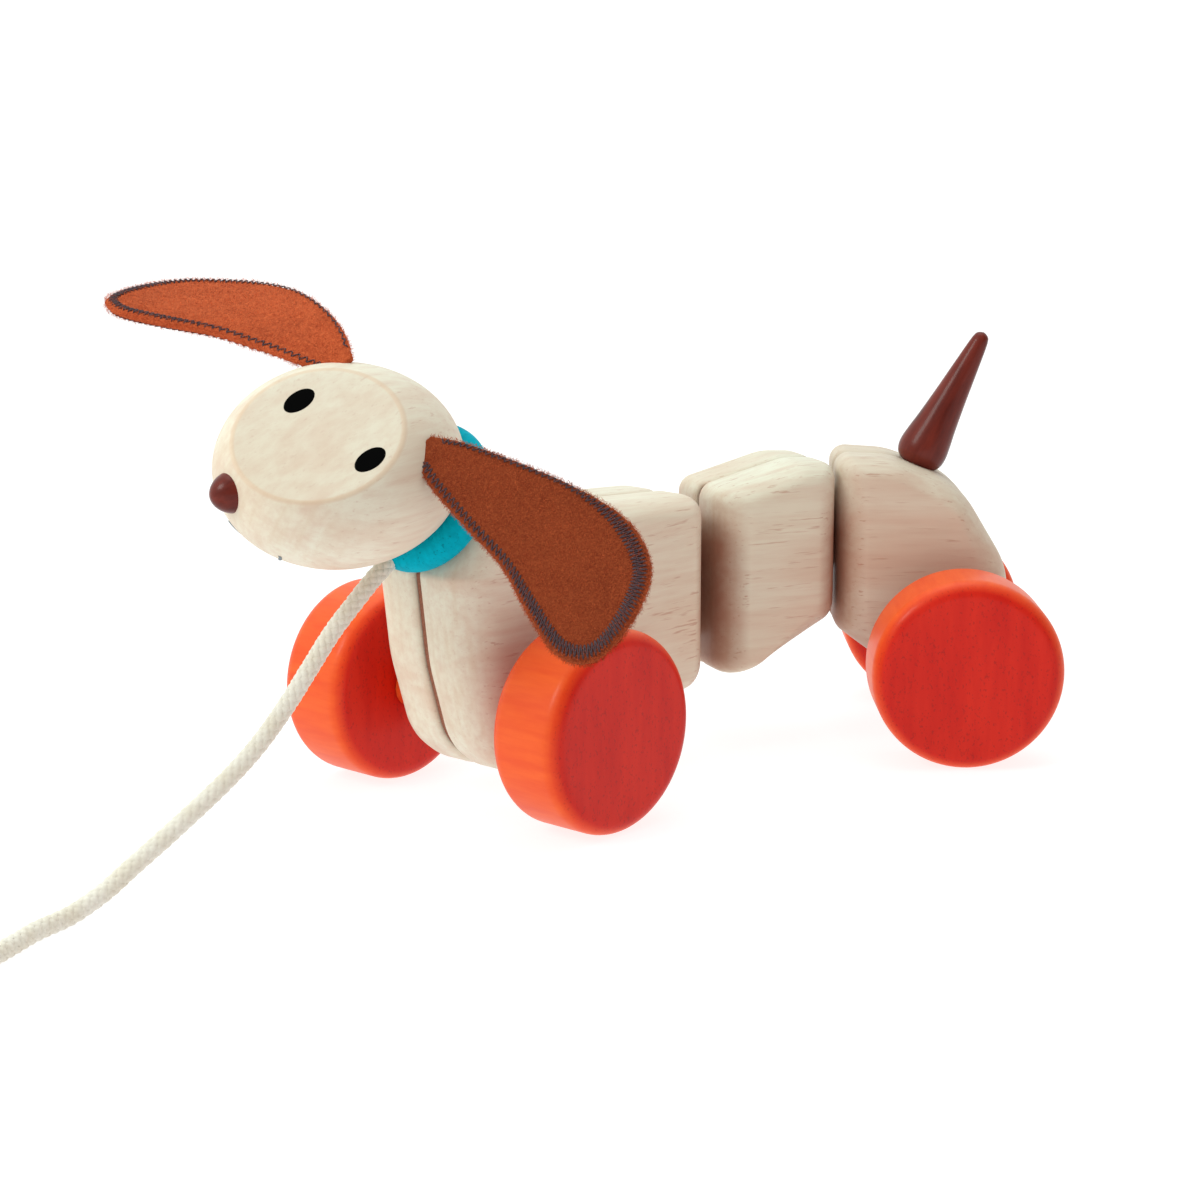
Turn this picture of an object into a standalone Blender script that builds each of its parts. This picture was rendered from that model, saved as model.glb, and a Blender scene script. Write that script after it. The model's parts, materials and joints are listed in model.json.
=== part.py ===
"""Pull along toy: a jointed wooden dog on four wheels, with felt ears and a cotton pull cord.

The dog looks towards -X and +Z is up. Each body is modelled in its own frame, whose axes are
(forward, left, up) of the dog, and an empty puts that frame in its place. Lengths are written in
millimetres and scaled by MM when a mesh is made. Driving dimensions come first.
"""

import math

import bmesh
import bpy
import numpy as np
from mathutils import Euler, Matrix, Vector

MM = 0.001
GAP = 0.3  # clearance between touching pieces

# Wheels and axles
WHEEL_RADIUS = 25.0
WHEEL_WIDTH = 21.6
WHEEL_OFFSET = 36.7  # from the mid-plane to the middle of a wheel
WHEEL_EDGE = 3.2
AXLE_RADIUS = 3.0
AXLE_HALF = 41.0
SPACER_RADIUS = 5.5

# Body blocks
HALF_WIDTH = 18.0
SIDE_ROUND = 9.5  # how far in from the side face the edge rounding starts
RADIUS_LOSS = 0.45  # share of a corner's radius that is lost towards the side face
STRAP_HALF = 0.7  # half the strap's thickness
FRONT_HEADING = 46.5  # degrees from the rear block's heading
MIDDLE_HEADING = 21.8
REAR_AXLE = (94.1, 50.0)  # x and y of the rear axle's middle

# Places along the chain, as distances along each block's own centre line
REAR_HINGE = 34.0  # ahead of the rear axle
REAR_GAP = 2.4  # hinge axis to each block's end face
HINGE_SPACING = 43.46
FRONT_GAP = 5.5
FRONT_HINGE = -73.5  # behind the front axle

# Neck, collar and head
NECK_PITCH = 28.0  # degrees that the neck axis rises
COLLAR_CENTRE = (18.8, 79.2)  # forward of the front axle, and up
COLLAR_RADIUS = 18.8
COLLAR_WIDTH = 9.0
PEG_RADIUS = 4.0
PEG_BACK = -24.0  # the neck peg's ends, measured along its axis from the collar's centre
PEG_FRONT = 19.0
HEAD_CENTRE = (46.2, 0.1, 90.5)
HEAD_SEMI_AXES = (33.7, 25.6, 22.1)
HEAD_TILT = (-34.5, 4.1, 4.2)  # degrees about forward, left and up
FACE_PITCH = 64.9  # degrees that the flat face's normal rises from the snout's axis
FACE_DISTANCE = 17.97
NOSE_CENTRE = (32.4, -3.4, -2.6)
NOSE_WAY = (0.967, -0.176, -0.180)
NOSE_SEMI_AXES = (4.9, 4.9, 4.6)

# Ears
EAR_ROOT = (-4.4, 17.8, 15.6)
EAR_THICKNESS = 2.6
EAR_INSET = 4.0  # how far its root reaches into the slot
EAR_LENGTH = 63.0
SLOT_SIZE = (30.0, 14.5, 5.4)
SLOT_OUT = 10.0  # the slot cutter's middle, out along the ear and across it
SLOT_DOWN = 2.2
# Each ear's hand, its root's turn in degrees, and its bends, twists and curls in radians per millimetre
EAR_POSES = {
    "left": (1, (0.0, 0.0, 0.0), (0.0, 0.0, 0.0, 0.0), (0.0, 0.0, 0.0), (0.0, 0.0)),
    "right": (
        -1,
        (5.6, 0.15, 1.3),
        (0.0184, -0.0014, 0.0005, -0.0095),
        (0.0145, 0.0123, -0.0008),
        (0.0115, 0.0026),
    ),
}

# Tail
TAIL_BASE = (9.6, 72.0)
TAIL_LEAN = 26.4
TAIL_LENGTH = 40.5
TAIL_PEG = (2.0, 9.6)  # its peg's radius and length
TAIL_SEAT = (7.1, 5.4)  # the hollow's radius and its middle's height along the tail

# Pull cord
CORD_RADIUS = 2.2
COIL_RADIUS = 24.0
COIL_HEIGHT = 8.8
COIL_CENTRE = (188.7, -3.9)
BEAD_RADIUS = 9.5
BEAD_CENTRE = (185.25, 4.85)
BEAD_WAY = (0.93, 0.367, 0.0)
# The cord's route in the front block's frame, from inside the collar to where the coil starts
CORD_ROUTE = [
    (24.2, -2.0, 68.7), (30.2, -2.0, 64.2), (35.0, -1.8, 61.2), (42.0, -1.0, 56.6), (49.5, -0.5, 51.0),
    (57.0, 0.0, 44.0), (64.5, 0.0, 36.4), (73.0, 0.0, 29.0), (82.0, 0.0, 23.0), (92.0, 0.0, 17.6),
    (101.5, 0.0, 12.8), (111.0, 0.2, 8.4), (120.0, 1.0, 4.6), (130.0, 2.4, 2.3), (141.0, 5.2, 2.25),
    (151.0, 9.2, 2.25), (163.5, 14.3, 2.25),
]

MATERIALS = {
    "rubberwood": ((0.78, 0.62, 0.45), 0.5),
    "red_wood": ((0.75, 0.07, 0.015), 0.4),
    "teal_paint": ((0.0, 0.30, 0.40), 0.45),
    "dark_wood": ((0.09, 0.02, 0.012), 0.3),
    "felt": ((0.30, 0.07, 0.015), 0.95),
    "strap_fabric": ((0.25, 0.09, 0.05), 0.8),
    "dowel_wood": ((0.72, 0.55, 0.38), 0.6),
    "cotton": ((0.80, 0.76, 0.66), 0.9),
}


def clear_scene():
    for obj in list(bpy.data.objects):
        bpy.data.objects.remove(obj, do_unlink=True)


def make_collection(name, hidden=False):
    collection = bpy.data.collections.new(name)
    collection.hide_render = hidden
    bpy.context.scene.collection.children.link(collection)
    return collection


def make_materials():
    made = {}
    for name, (colour, roughness) in MATERIALS.items():
        material = bpy.data.materials.new(name)
        material.use_nodes = True
        shader = material.node_tree.nodes["Principled BSDF"]
        shader.inputs["Base Color"].default_value = (*colour, 1.0)
        shader.inputs["Roughness"].default_value = roughness
        made[name] = material
    return made


def body_frame(name, x, y, heading, parent=None):
    """An empty whose X axis is the dog's forward direction, Y its left and Z up."""
    empty = bpy.data.objects.new(name, None)
    PARTS.objects.link(empty)
    empty.location = (x * MM, y * MM, 0.0)
    empty.rotation_euler = (0.0, 0.0, math.radians(180.0 + heading))
    if parent:
        empty.parent = parent
    return empty


def ahead(start, heading, distance):
    """The point that lies a distance ahead of start along a heading."""
    angle = math.radians(heading)
    return start[0] - distance * math.cos(angle), start[1] - distance * math.sin(angle)


def add_object(name, mesh, parent, material=None):
    """Links a mesh as a part, or as a hidden cutter when it has no material."""
    obj = bpy.data.objects.new(name, mesh)
    obj.parent = parent
    if material:
        PARTS.objects.link(obj)
        mesh.materials.append(LOOKS[material])
        mesh.shade_smooth()
        mesh.set_sharp_from_angle(angle=math.radians(40.0))
    else:
        CUTTERS.objects.link(obj)
        obj.hide_render = True
        obj.display_type = "WIRE"
    return obj


def mesh_from(name, build):
    """A mesh that build(bmesh) has filled, in metres and facing out."""
    shape = bmesh.new()
    build(shape)
    bmesh.ops.recalc_face_normals(shape, faces=shape.faces)
    bmesh.ops.scale(shape, vec=(MM, MM, MM), verts=shape.verts)
    mesh = bpy.data.meshes.new(name)
    shape.to_mesh(mesh)
    shape.free()
    return mesh


def cut(obj, *cutters):
    for cutter in cutters:
        boolean = obj.modifiers.new("cut_" + cutter.name, "BOOLEAN")
        boolean.operation = "DIFFERENCE"
        boolean.object = cutter


def outline(corners, side=0.0, steps=4):
    """Points round an outline of (forward, up, radius, shift forward, shift up) corners.

    side runs from 0 on the mid-plane to 1 on the side face, where each corner has made its shift.
    """
    places = [Vector((s + side * ds, z + side * dz)) for s, z, _, ds, dz in corners]
    points = []
    for index, corner in enumerate(corners):
        here = places[index]
        back = (places[index - 1] - here).normalized()
        on = (places[(index + 1) % len(places)] - here).normalized()
        half = 0.5 * math.acos(max(-1.0, min(1.0, back.dot(on))))
        radius = corner[2] * (1.0 - RADIUS_LOSS * side)
        reach = radius / math.tan(half)
        centre = here + (back + on).normalized() * radius / math.sin(half)
        start = here + back * reach - centre
        sweep = start.angle_signed(here + on * reach - centre)
        for step in range(steps + 1):
            turn = Matrix.Rotation(-sweep * step / steps, 2)
            points.append(centre + turn @ start)
    return points


def loft(shape, rings):
    """Skins a list of equal rings of points and closes both ends."""
    loops = [[shape.verts.new(point) for point in ring] for ring in rings]
    count = len(loops[0])
    for first, second in zip(loops, loops[1:]):
        for index in range(count):
            after = (index + 1) % count
            shape.faces.new((first[index], first[after], second[after], second[index]))
    shape.faces.new(loops[0])
    shape.faces.new(reversed(loops[-1]))


def block_half(corners, hand):
    """One half of a block: hand is 1 for the left half and -1 for the right."""
    inner = STRAP_HALF + GAP
    sections = [(inner, 0.10), (inner + 0.9, 0.0)]
    for angle in range(0, 91, 18):
        turn = math.radians(angle)
        sections.append((HALF_WIDTH - SIDE_ROUND * (1.0 - math.sin(turn)), 1.0 - math.cos(turn)))

    def build(shape):
        rings = []
        for lateral, side in sections:
            rings.append([(p.x, hand * lateral, p.y) for p in outline(corners, side)])
        loft(shape, rings)

    return build


def plate(corners, half):
    def build(shape):
        points = outline(corners)
        loft(shape, [[(p.x, side, p.y) for p in points] for side in (-half, half)])

    return build


def cylinder(radius, length, segments=24):
    """A cylinder along Z about the origin."""

    def build(shape):
        bmesh.ops.create_cone(
            shape, cap_ends=True, segments=segments, radius1=radius, radius2=radius, depth=length
        )

    return build


def egg(semi_axes, u_segments=20, v_segments=12):
    def build(shape):
        bmesh.ops.create_uvsphere(shape, u_segments=u_segments, v_segments=v_segments, radius=1.0)
        bmesh.ops.scale(shape, vec=semi_axes, verts=shape.verts)

    return build


def turned(name, profile, steps, parent, material=None, ring=False):
    """A turned piece about its Z axis, from a (radius, height) profile that runs top to bottom.

    The profile of a ring, which doesn't reach the axis, closes on itself.
    """
    mesh = bpy.data.meshes.new(name)
    points = [(radius * MM, 0.0, height * MM) for radius, height in profile]
    edges = [(index, index + 1) for index in range(len(points) - 1)]
    if ring:
        edges.append((len(points) - 1, 0))
    mesh.from_pydata(points, edges, [])
    obj = add_object(name, mesh, parent, material)
    screw = obj.modifiers.new("turn", "SCREW")
    screw.steps = screw.render_steps = steps
    screw.use_merge_vertices = True
    screw.merge_threshold = 0.00001
    screw.use_smooth_shade = True
    return obj


def arc(centre, radius, start, end, steps):
    """(radius, height) points on an arc, with its angles in degrees from the outward direction."""
    points = []
    for step in range(steps + 1):
        angle = math.radians(start + (end - start) * step / steps)
        points.append((centre[0] + radius * math.cos(angle), centre[1] + radius * math.sin(angle)))
    return points


def across(obj, forward, lateral, up):
    """Turns a piece that was made along Z so that it lies along the axle direction."""
    obj.location = (forward * MM, lateral * MM, up * MM)
    obj.rotation_euler = (math.radians(90.0), 0.0, 0.0)


# Blocks: (forward, up, radius, shift forward, shift up) corners of the mid-plane outline.
def neck_point(along, back=0.0):
    """A point on the front block's neck face, which backs the collar."""
    pitch = math.radians(NECK_PITCH)
    depth = COLLAR_WIDTH / 2 + GAP + back
    forward = COLLAR_CENTRE[0] - depth * math.cos(pitch) - along * math.sin(pitch)
    return forward, COLLAR_CENTRE[1] - depth * math.sin(pitch) + along * math.cos(pitch)


def front_corners():
    end = FRONT_HINGE + FRONT_GAP
    return [
        (*neck_point(10.5), 3.0, -6.0, -9.0),
        (-14.0, 73.2, 30.0, -2.0, -5.5),
        (-47.0, 71.2, 60.0, 1.0, -5.0),
        (end, 69.8, 4.5, 8.5, -4.5),
        (end, 19.4, 7.0, 8.5, 5.0),
        (2.0, 8.0, 15.0, -9.0, 6.0),
        (13.6, 17.0, 18.0, -11.0, 4.0),
        (20.0, 38.0, 44.0, -11.0, 0.0),
        (*neck_point(-18.0), 3.0, -11.0, 0.0),
    ]


def middle_corners():
    front = -FRONT_GAP
    back = REAR_GAP - HINGE_SPACING
    return [
        (front, 69.8, 4.5, -8.5, -4.5),
        (front, 17.4, 5.0, -8.5, 4.4),
        (back, 34.4, 6.0, 8.5, 3.0),
        (back, 75.2, 4.0, 8.5, -5.0),
        (-30.5, 75.9, 14.0, 2.0, -5.0),
    ]


def rear_corners():
    front = REAR_HINGE - REAR_GAP
    return [
        (front, 76.8, 4.0, -8.5, -5.0),
        (front, 30.6, 5.0, -8.5, 3.0),
        (9.0, 13.8, 13.0, -1.5, 6.0),
        (-4.0, 7.3, 9.5, 4.0, 8.2),
        (-14.6, 24.0, 18.0, 9.0, 2.0),
        (-15.2, 46.0, 22.0, 9.0, -1.0),
        (-1.2, 69.2, 24.0, 2.0, -7.0),
        (16.5, 75.8, 22.0, 0.0, -5.0),
    ]


def strap_corners(corners, *ends):
    """The strap's outline: set in from its block's, and drawn out to each hinge."""
    found = []
    for forward, up, radius, shift_forward, shift_up in corners:
        place = (forward + 0.3 * shift_forward, up + 0.45 * shift_up)
        for face, hinge in ends:
            if abs(forward - face) < 0.01:
                inward = math.copysign(9.0, 50.0 - up)
                place = (hinge, up + inward)
        found.append((*place, min(radius, 3.0), 0.0, 0.0))
    return found


def peg_placed(obj, middle):
    """Places a piece that was made along Z on the neck's axis."""
    pitch = math.radians(NECK_PITCH)
    obj.location = (
        (COLLAR_CENTRE[0] + middle * math.cos(pitch)) * MM,
        0.0,
        (COLLAR_CENTRE[1] + middle * math.sin(pitch)) * MM,
    )
    obj.rotation_euler = (0.0, math.radians(90.0 - NECK_PITCH), 0.0)


def make_wheelset(label, parent, axle_forward):
    """An axle, its two wheels with blind holes, and the two spacers beside the block."""
    up = WHEEL_RADIUS
    axle_mesh = mesh_from(label + "_axle", cylinder(AXLE_RADIUS, 2 * AXLE_HALF))
    across(add_object(label + "_axle", axle_mesh, parent, "dowel_wood"), axle_forward, 0.0, up)
    half = WHEEL_WIDTH / 2
    rim = WHEEL_RADIUS - WHEEL_EDGE
    hole = AXLE_RADIUS + 0.15
    depth = AXLE_HALF + 0.2 - WHEEL_OFFSET
    for side, hand in (("left", 1), ("right", -1)):
        profile = [(0.0, half)]
        profile += arc((rim, half - WHEEL_EDGE), WHEEL_EDGE, 90.0, 0.0, 3)
        profile += arc((rim, WHEEL_EDGE - half), WHEEL_EDGE, 0.0, -90.0, 3)
        profile += [(hole, -half), (hole, depth), (0.0, depth)]
        wheel = turned("wheel_%s_%s" % (label, side), profile, 32, parent, "red_wood")
        wheel.location = (axle_forward * MM, hand * WHEEL_OFFSET * MM, up * MM)
        wheel.rotation_euler = (math.radians(-90.0 * hand), 0.0, 0.0)
        near = HALF_WIDTH + GAP
        far = WHEEL_OFFSET - half - GAP
        sleeve = (AXLE_RADIUS + 0.1, SPACER_RADIUS)
        profile = [(sleeve[1], far), (sleeve[1], near), (sleeve[0], near), (sleeve[0], far)]
        name = "spacer_%s_%s" % (label, side)
        spacer = turned(name, profile, 16, parent, "dowel_wood", ring=True)
        spacer.location = (axle_forward * MM, 0.0, up * MM)
        spacer.rotation_euler = (math.radians(-90.0 * hand), 0.0, 0.0)


def make_block(label, corners, parent, strap_ends, cutters):
    for side, hand in (("left", 1), ("right", -1)):
        name = "%s_half_%s" % (label, side)
        half = add_object(name, mesh_from(name, block_half(corners, hand)), parent, "rubberwood")
        cut(half, *cutters)
    name = label + "_strap"
    flat = plate(strap_corners(corners, *strap_ends), STRAP_HALF)
    strap = add_object(name, mesh_from(name, flat), parent, "strap_fabric")
    cut(strap, *cutters)


def axle_cutter(name, parent, forward):
    bore = add_object(name, mesh_from(name, cylinder(AXLE_RADIUS + 0.1, 90.0)), parent)
    across(bore, forward, 0.0, WHEEL_RADIUS)
    return bore


def head_shape(shape):
    """An egg with a flat face and a flat seat on the collar, both with soft edges."""
    semi = Vector(HEAD_SEMI_AXES)
    turn = Euler([math.radians(angle) for angle in HEAD_TILT]).to_matrix()
    pitch = math.radians(FACE_PITCH)
    face = Vector((math.cos(pitch), 0.0, math.sin(pitch)))
    neck = math.radians(NECK_PITCH)
    axis = Vector((math.cos(neck), 0.0, math.sin(neck)))
    seat_place = Vector((COLLAR_CENTRE[0], 0.0, COLLAR_CENTRE[1])) + axis * (COLLAR_WIDTH / 2 + GAP)
    seat = turn.transposed() @ -axis
    seat_distance = (Vector(HEAD_CENTRE) - seat_place).dot(axis)
    bmesh.ops.create_uvsphere(shape, u_segments=28, v_segments=18, radius=1.0)
    for vert in shape.verts:
        ray = Vector(c * s for c, s in zip(vert.co, semi)).normalized()
        reach = 1.0 / Vector(c / s for c, s in zip(ray, semi)).length
        for normal, distance, softness in ((face, FACE_DISTANCE, 0.25), (seat, seat_distance, 0.1)):
            slope = ray.dot(normal)
            if slope > 0.01:
                limit = distance / slope
                blend = max(0.0, min(1.0, 0.5 + 0.5 * (limit - reach) / softness))
                reach = limit * (1.0 - blend) + reach * blend - softness * blend * (1.0 - blend)
        vert.co = ray * reach


def ear_outline():
    """The flat ear's edge as (along, across) points: a lopsided teardrop with a narrow root."""
    return [
        (-4.0, -4.2), (2.5, -8.4), (14.0, -13.6), (28.0, -18.8), (41.0, -21.8), (50.0, -20.7),
        (57.0, -16.6), (61.5, -8.5), (63.6, 1.0), (62.5, 8.0), (56.0, 11.4), (45.0, 9.6),
        (32.0, 5.9), (19.0, 5.2), (6.0, 4.2), (-4.0, 2.2),
    ]


def ear_root(hand, turn):
    """Where an ear leaves the head: its place, its length's way and its width's way."""
    turn = Euler([math.radians(angle) for angle in turn]).to_matrix()
    place = Vector((EAR_ROOT[0], hand * EAR_ROOT[1], EAR_ROOT[2]))
    width = Vector((0.75, 0.0, -0.66)).normalized()
    return place, turn @ Vector((0.0, hand, 0.0)), turn @ width


def ear_shape(hand, turn, bends, twists, curls):
    """The flat ear, bent, twisted and curled along its length by rates in radians per millimetre."""

    def build(shape):
        steps = 17
        edge = ear_outline()
        place, along, width = ear_root(hand, turn)
        place = place - along * EAR_INSET
        move = (EAR_LENGTH + EAR_INSET) / steps
        rings = []
        for step in range(steps + 1):
            distance = -EAR_INSET + move * step
            low, high = ear_span(edge, distance)
            normal = along.cross(width)
            half = EAR_THICKNESS / 2 * (0.65 if step in (0, steps) else 1.0)
            ring = []
            for side in (-1, 1):
                for part in range(5):
                    across = low + (high - low) * (part if side < 0 else 4 - part) / 4
                    thin = 0.6 if part in (0, 4) else 1.0
                    ring.append(place + width * across + normal * (side * half * thin))
            rings.append(ring)
            bend = np.interp(distance, (0.0, 20.0, 42.0, 64.0), bends)
            twist = np.interp(distance, (0.0, 32.0, 64.0), twists)
            place = place + along * move
            curl = np.interp(distance, (0.0, 32.0), curls)
            swing = Matrix.Rotation(bend * move, 3, width) @ Matrix.Rotation(twist * move, 3, along)
            swing = Matrix.Rotation(curl * move, 3, normal) @ swing
            along = (swing @ along).normalized()
            width = (swing @ width).normalized()
        loft(shape, rings)

    return build


def ear_span(edge, distance):
    """The lowest and highest edge point across the ear at a distance along it."""
    found = []
    for (a, low), (b, high) in zip(edge, edge[1:] + edge[:1]):
        if min(a, b) <= distance <= max(a, b) and a != b:
            found.append(low + (high - low) * (distance - a) / (b - a))
    return min(found), max(found)


def smooth_route(points, spacing):
    """Points at about one spacing along a Catmull-Rom curve through the route's points."""
    points = [Vector(point) for point in points]
    padded = [2 * points[0] - points[1], *points, 2 * points[-1] - points[-2]]
    found = [points[0]]
    for before, start, end, after in zip(padded, padded[1:], padded[2:], padded[3:]):
        count = max(1, round((end - start).length / spacing))
        for step in range(1, count + 1):
            t = step / count
            found.append(
                0.5
                * (
                    2 * start
                    + (end - before) * t
                    + (2 * before - 5 * start + 4 * end - after) * t**2
                    + (3 * start - before - 3 * end + after) * t**3
                )
            )
    return found


def make_cord(name, points, radius, material):
    curve = bpy.data.curves.new(name, "CURVE")
    curve.dimensions = "3D"
    curve.bevel_depth = radius * MM
    curve.bevel_resolution = 2
    curve.use_fill_caps = True
    spline = curve.splines.new("POLY")
    spline.points.add(len(points) - 1)
    for place, point in zip(spline.points, points):
        place.co = (*(point * MM), 1.0)
    obj = bpy.data.objects.new(name, curve)
    curve.materials.append(LOOKS[material])
    PARTS.objects.link(obj)
    return obj


clear_scene()
PARTS = make_collection("pull_along_dog")
CUTTERS = make_collection("cutters", hidden=True)
LOOKS = make_materials()

# Body frames, from the rear axle forwards
rear_hinge = ahead(REAR_AXLE, 0.0, REAR_HINGE)
front_hinge = ahead(rear_hinge, MIDDLE_HEADING, HINGE_SPACING)
front_axle = ahead(front_hinge, FRONT_HEADING, -FRONT_HINGE)
rear = body_frame("rear_frame", *REAR_AXLE, 0.0)
middle = body_frame("middle_frame", *front_hinge, MIDDLE_HEADING)
front = body_frame("front_frame", *front_axle, FRONT_HEADING)
head_frame = bpy.data.objects.new("head_frame", None)
PARTS.objects.link(head_frame)
head_frame.parent = front
head_frame.location = Vector(HEAD_CENTRE) * MM
head_frame.rotation_euler = [math.radians(angle) for angle in HEAD_TILT]

# Front block, with the neck peg's bore
neck_bore = mesh_from("neck_bore", cylinder(PEG_RADIUS + 0.1, PEG_FRONT - PEG_BACK + 0.4))
neck_cutter = add_object("neck_bore", neck_bore, front)
peg_placed(neck_cutter, (PEG_FRONT + PEG_BACK) / 2)
front_bore = axle_cutter("front_bore", front, 0.0)
front_end = FRONT_HINGE + FRONT_GAP
make_block(
    "front", front_corners(), front, [(front_end, FRONT_HINGE + 0.6)], [front_bore, neck_cutter]
)

# Middle block
middle_back = REAR_GAP - HINGE_SPACING
make_block(
    "middle",
    middle_corners(),
    middle,
    [(-FRONT_GAP, -0.6), (middle_back, 0.6 - HINGE_SPACING)],
    [],
)

# Rear block, with the tail's bore
rear_bore = axle_cutter("rear_bore", rear, 0.0)
lean = math.radians(-TAIL_LEAN)
tail_bore = mesh_from("tail_bore", cylinder(TAIL_PEG[0] + 0.1, 20.0, 16))
tail_cutter = add_object("tail_bore", tail_bore, rear)
tail_cutter.location = (TAIL_BASE[0] * MM, 0.0, TAIL_BASE[1] * MM)
tail_cutter.rotation_euler = (0.0, lean, 0.0)
seat_mesh = mesh_from("tail_seat", egg((TAIL_SEAT[0], TAIL_SEAT[0], TAIL_SEAT[0]), 16, 10))
tail_seat = add_object("tail_seat", seat_mesh, rear)
tail_seat.location = (
    (TAIL_BASE[0] + TAIL_SEAT[1] * math.sin(lean)) * MM,
    0.0,
    (TAIL_BASE[1] + TAIL_SEAT[1] * math.cos(lean)) * MM,
)
rear_end = REAR_HINGE - REAR_GAP
make_block(
    "rear",
    rear_corners(),
    rear,
    [(rear_end, REAR_HINGE - 0.6)],
    [rear_bore, tail_cutter, tail_seat],
)

make_wheelset("front", front, 0.0)
make_wheelset("rear", rear, 0.0)

# Tail: a turned teardrop with its peg in one piece
tail_profile = [(0.0, TAIL_LENGTH)]
tail_profile += arc((0.0, TAIL_LENGTH - 2.3), 2.3, 70.0, 10.0, 3)
tail_profile += [(4.3, 22.0), (6.0, 10.0), (6.7, 5.4), (6.2, 2.6), (4.6, 1.0), (TAIL_PEG[0], 0.2)]
tail_profile += [(TAIL_PEG[0], -TAIL_PEG[1]), (0.0, -TAIL_PEG[1])]
tail = turned("tail", tail_profile, 20, rear, "dark_wood")
tail.location = tail_cutter.location
tail.rotation_euler = (0.0, lean, 0.0)

# Collar with its bore and the cord's blind hole
rim = COLLAR_RADIUS - 4.0
half = COLLAR_WIDTH / 2
collar_profile = [(PEG_RADIUS + 0.1, half), *arc((rim, half - 4.0), 4.0, 90.0, 0.0, 4)]
collar_profile += [*arc((rim, 4.0 - half), 4.0, 0.0, -90.0, 4), (PEG_RADIUS + 0.1, -half)]
collar = turned("collar", collar_profile, 36, front, "teal_paint", ring=True)
peg_placed(collar, 0.0)
peg_mesh = mesh_from("neck_peg", cylinder(PEG_RADIUS, PEG_FRONT - PEG_BACK))
neck_peg = add_object("neck_peg", peg_mesh, front, "dowel_wood")
peg_placed(neck_peg, (PEG_FRONT + PEG_BACK) / 2)

# Head, nose and ears
head = add_object("head", mesh_from("head", head_shape), head_frame, "rubberwood")
nose_mesh = mesh_from("nose", egg(NOSE_SEMI_AXES, 16, 10))
nose = add_object("nose", nose_mesh, head_frame, "dark_wood")
socket_mesh = mesh_from("nose_socket", egg([axis + GAP for axis in NOSE_SEMI_AXES], 16, 10))
nose_socket = add_object("nose_socket", socket_mesh, head_frame)
for obj in (nose, nose_socket):
    obj.location = Vector(NOSE_CENTRE) * MM
    obj.rotation_euler = Vector(NOSE_WAY).to_track_quat("Z", "Y").to_euler()
slots = []
for side, (hand, turn, bends, twists, curls) in EAR_POSES.items():
    name = "ear_" + side
    add_object(name, mesh_from(name, ear_shape(hand, turn, bends, twists, curls)), head_frame, "felt")
    name = "ear_slot_" + side
    slot_mesh = mesh_from(name, lambda shape: bmesh.ops.create_cube(shape, size=1.0))
    slot = add_object(name, slot_mesh, head_frame)
    place, along, width = ear_root(hand, turn)
    normal = along.cross(width)
    length, breadth, height = SLOT_SIZE
    turned_box = Matrix((along * length, width * breadth, normal * height)).transposed().to_4x4()
    middle_place = place + along * SLOT_OUT - width * SLOT_DOWN
    slot.matrix_local = Matrix.Translation(middle_place * MM) @ turned_box
    slots.append(slot)
cut(head, neck_cutter, nose_socket, *slots)

# Pull cord: out of the collar's blind hole, down to the floor, and into its coil round the bead
exit_place = Vector(CORD_ROUTE[1])
exit_way = (exit_place - Vector(CORD_ROUTE[0])).normalized()
hole_mesh = mesh_from("cord_hole", cylinder(CORD_RADIUS + 0.35, 14.0, 12))
cord_hole = add_object("cord_hole", hole_mesh, front)
cord_hole.location = (exit_place - exit_way * 1.0) * MM
cord_hole.rotation_euler = exit_way.to_track_quat("Z", "Y").to_euler()
cut(collar, cord_hole)
cord = make_cord("pull_cord", smooth_route(CORD_ROUTE, 9.0), CORD_RADIUS, "cotton")
cord.parent = front
across_half = 2 * CORD_RADIUS
coil_profile = [
    (COIL_RADIUS - across_half, 0.0),
    (COIL_RADIUS - across_half, COIL_HEIGHT),
    (COIL_RADIUS + across_half, COIL_HEIGHT),
    (COIL_RADIUS + across_half, 0.0),
]
coil = turned("cord_coil", coil_profile, 32, front, "cotton", ring=True)
coil.location = (COIL_CENTRE[0] * MM, COIL_CENTRE[1] * MM, 0.0)
bead_bore = mesh_from("bead_bore", cylinder(CORD_RADIUS + 0.4, 30.0, 12))
bead_cutter = add_object("bead_bore", bead_bore, front)
bead_cutter.location = (BEAD_CENTRE[0] * MM, BEAD_CENTRE[1] * MM, BEAD_RADIUS * MM)
bead_cutter.rotation_euler = Vector(BEAD_WAY).to_track_quat("Z", "Y").to_euler()
bead_mesh = mesh_from("pull_bead", egg((BEAD_RADIUS, BEAD_RADIUS, BEAD_RADIUS), 20, 14))
bead = add_object("pull_bead", bead_mesh, front, "red_wood")
bead.location = bead_cutter.location
cut(bead, bead_cutter)
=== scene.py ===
"""Looks of the pull along toy: a jointed wooden dog with felt ears and a cotton pull cord.

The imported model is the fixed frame. Shapes are written in millimetres in the frame of their own
block, whose axes are the dog's (forward, left, up), and scaled by MM when a mesh is made.
"""

import json
import math
import random

import bmesh
import bpy
import numpy as np
from mathutils import Euler, Matrix, Vector


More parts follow.
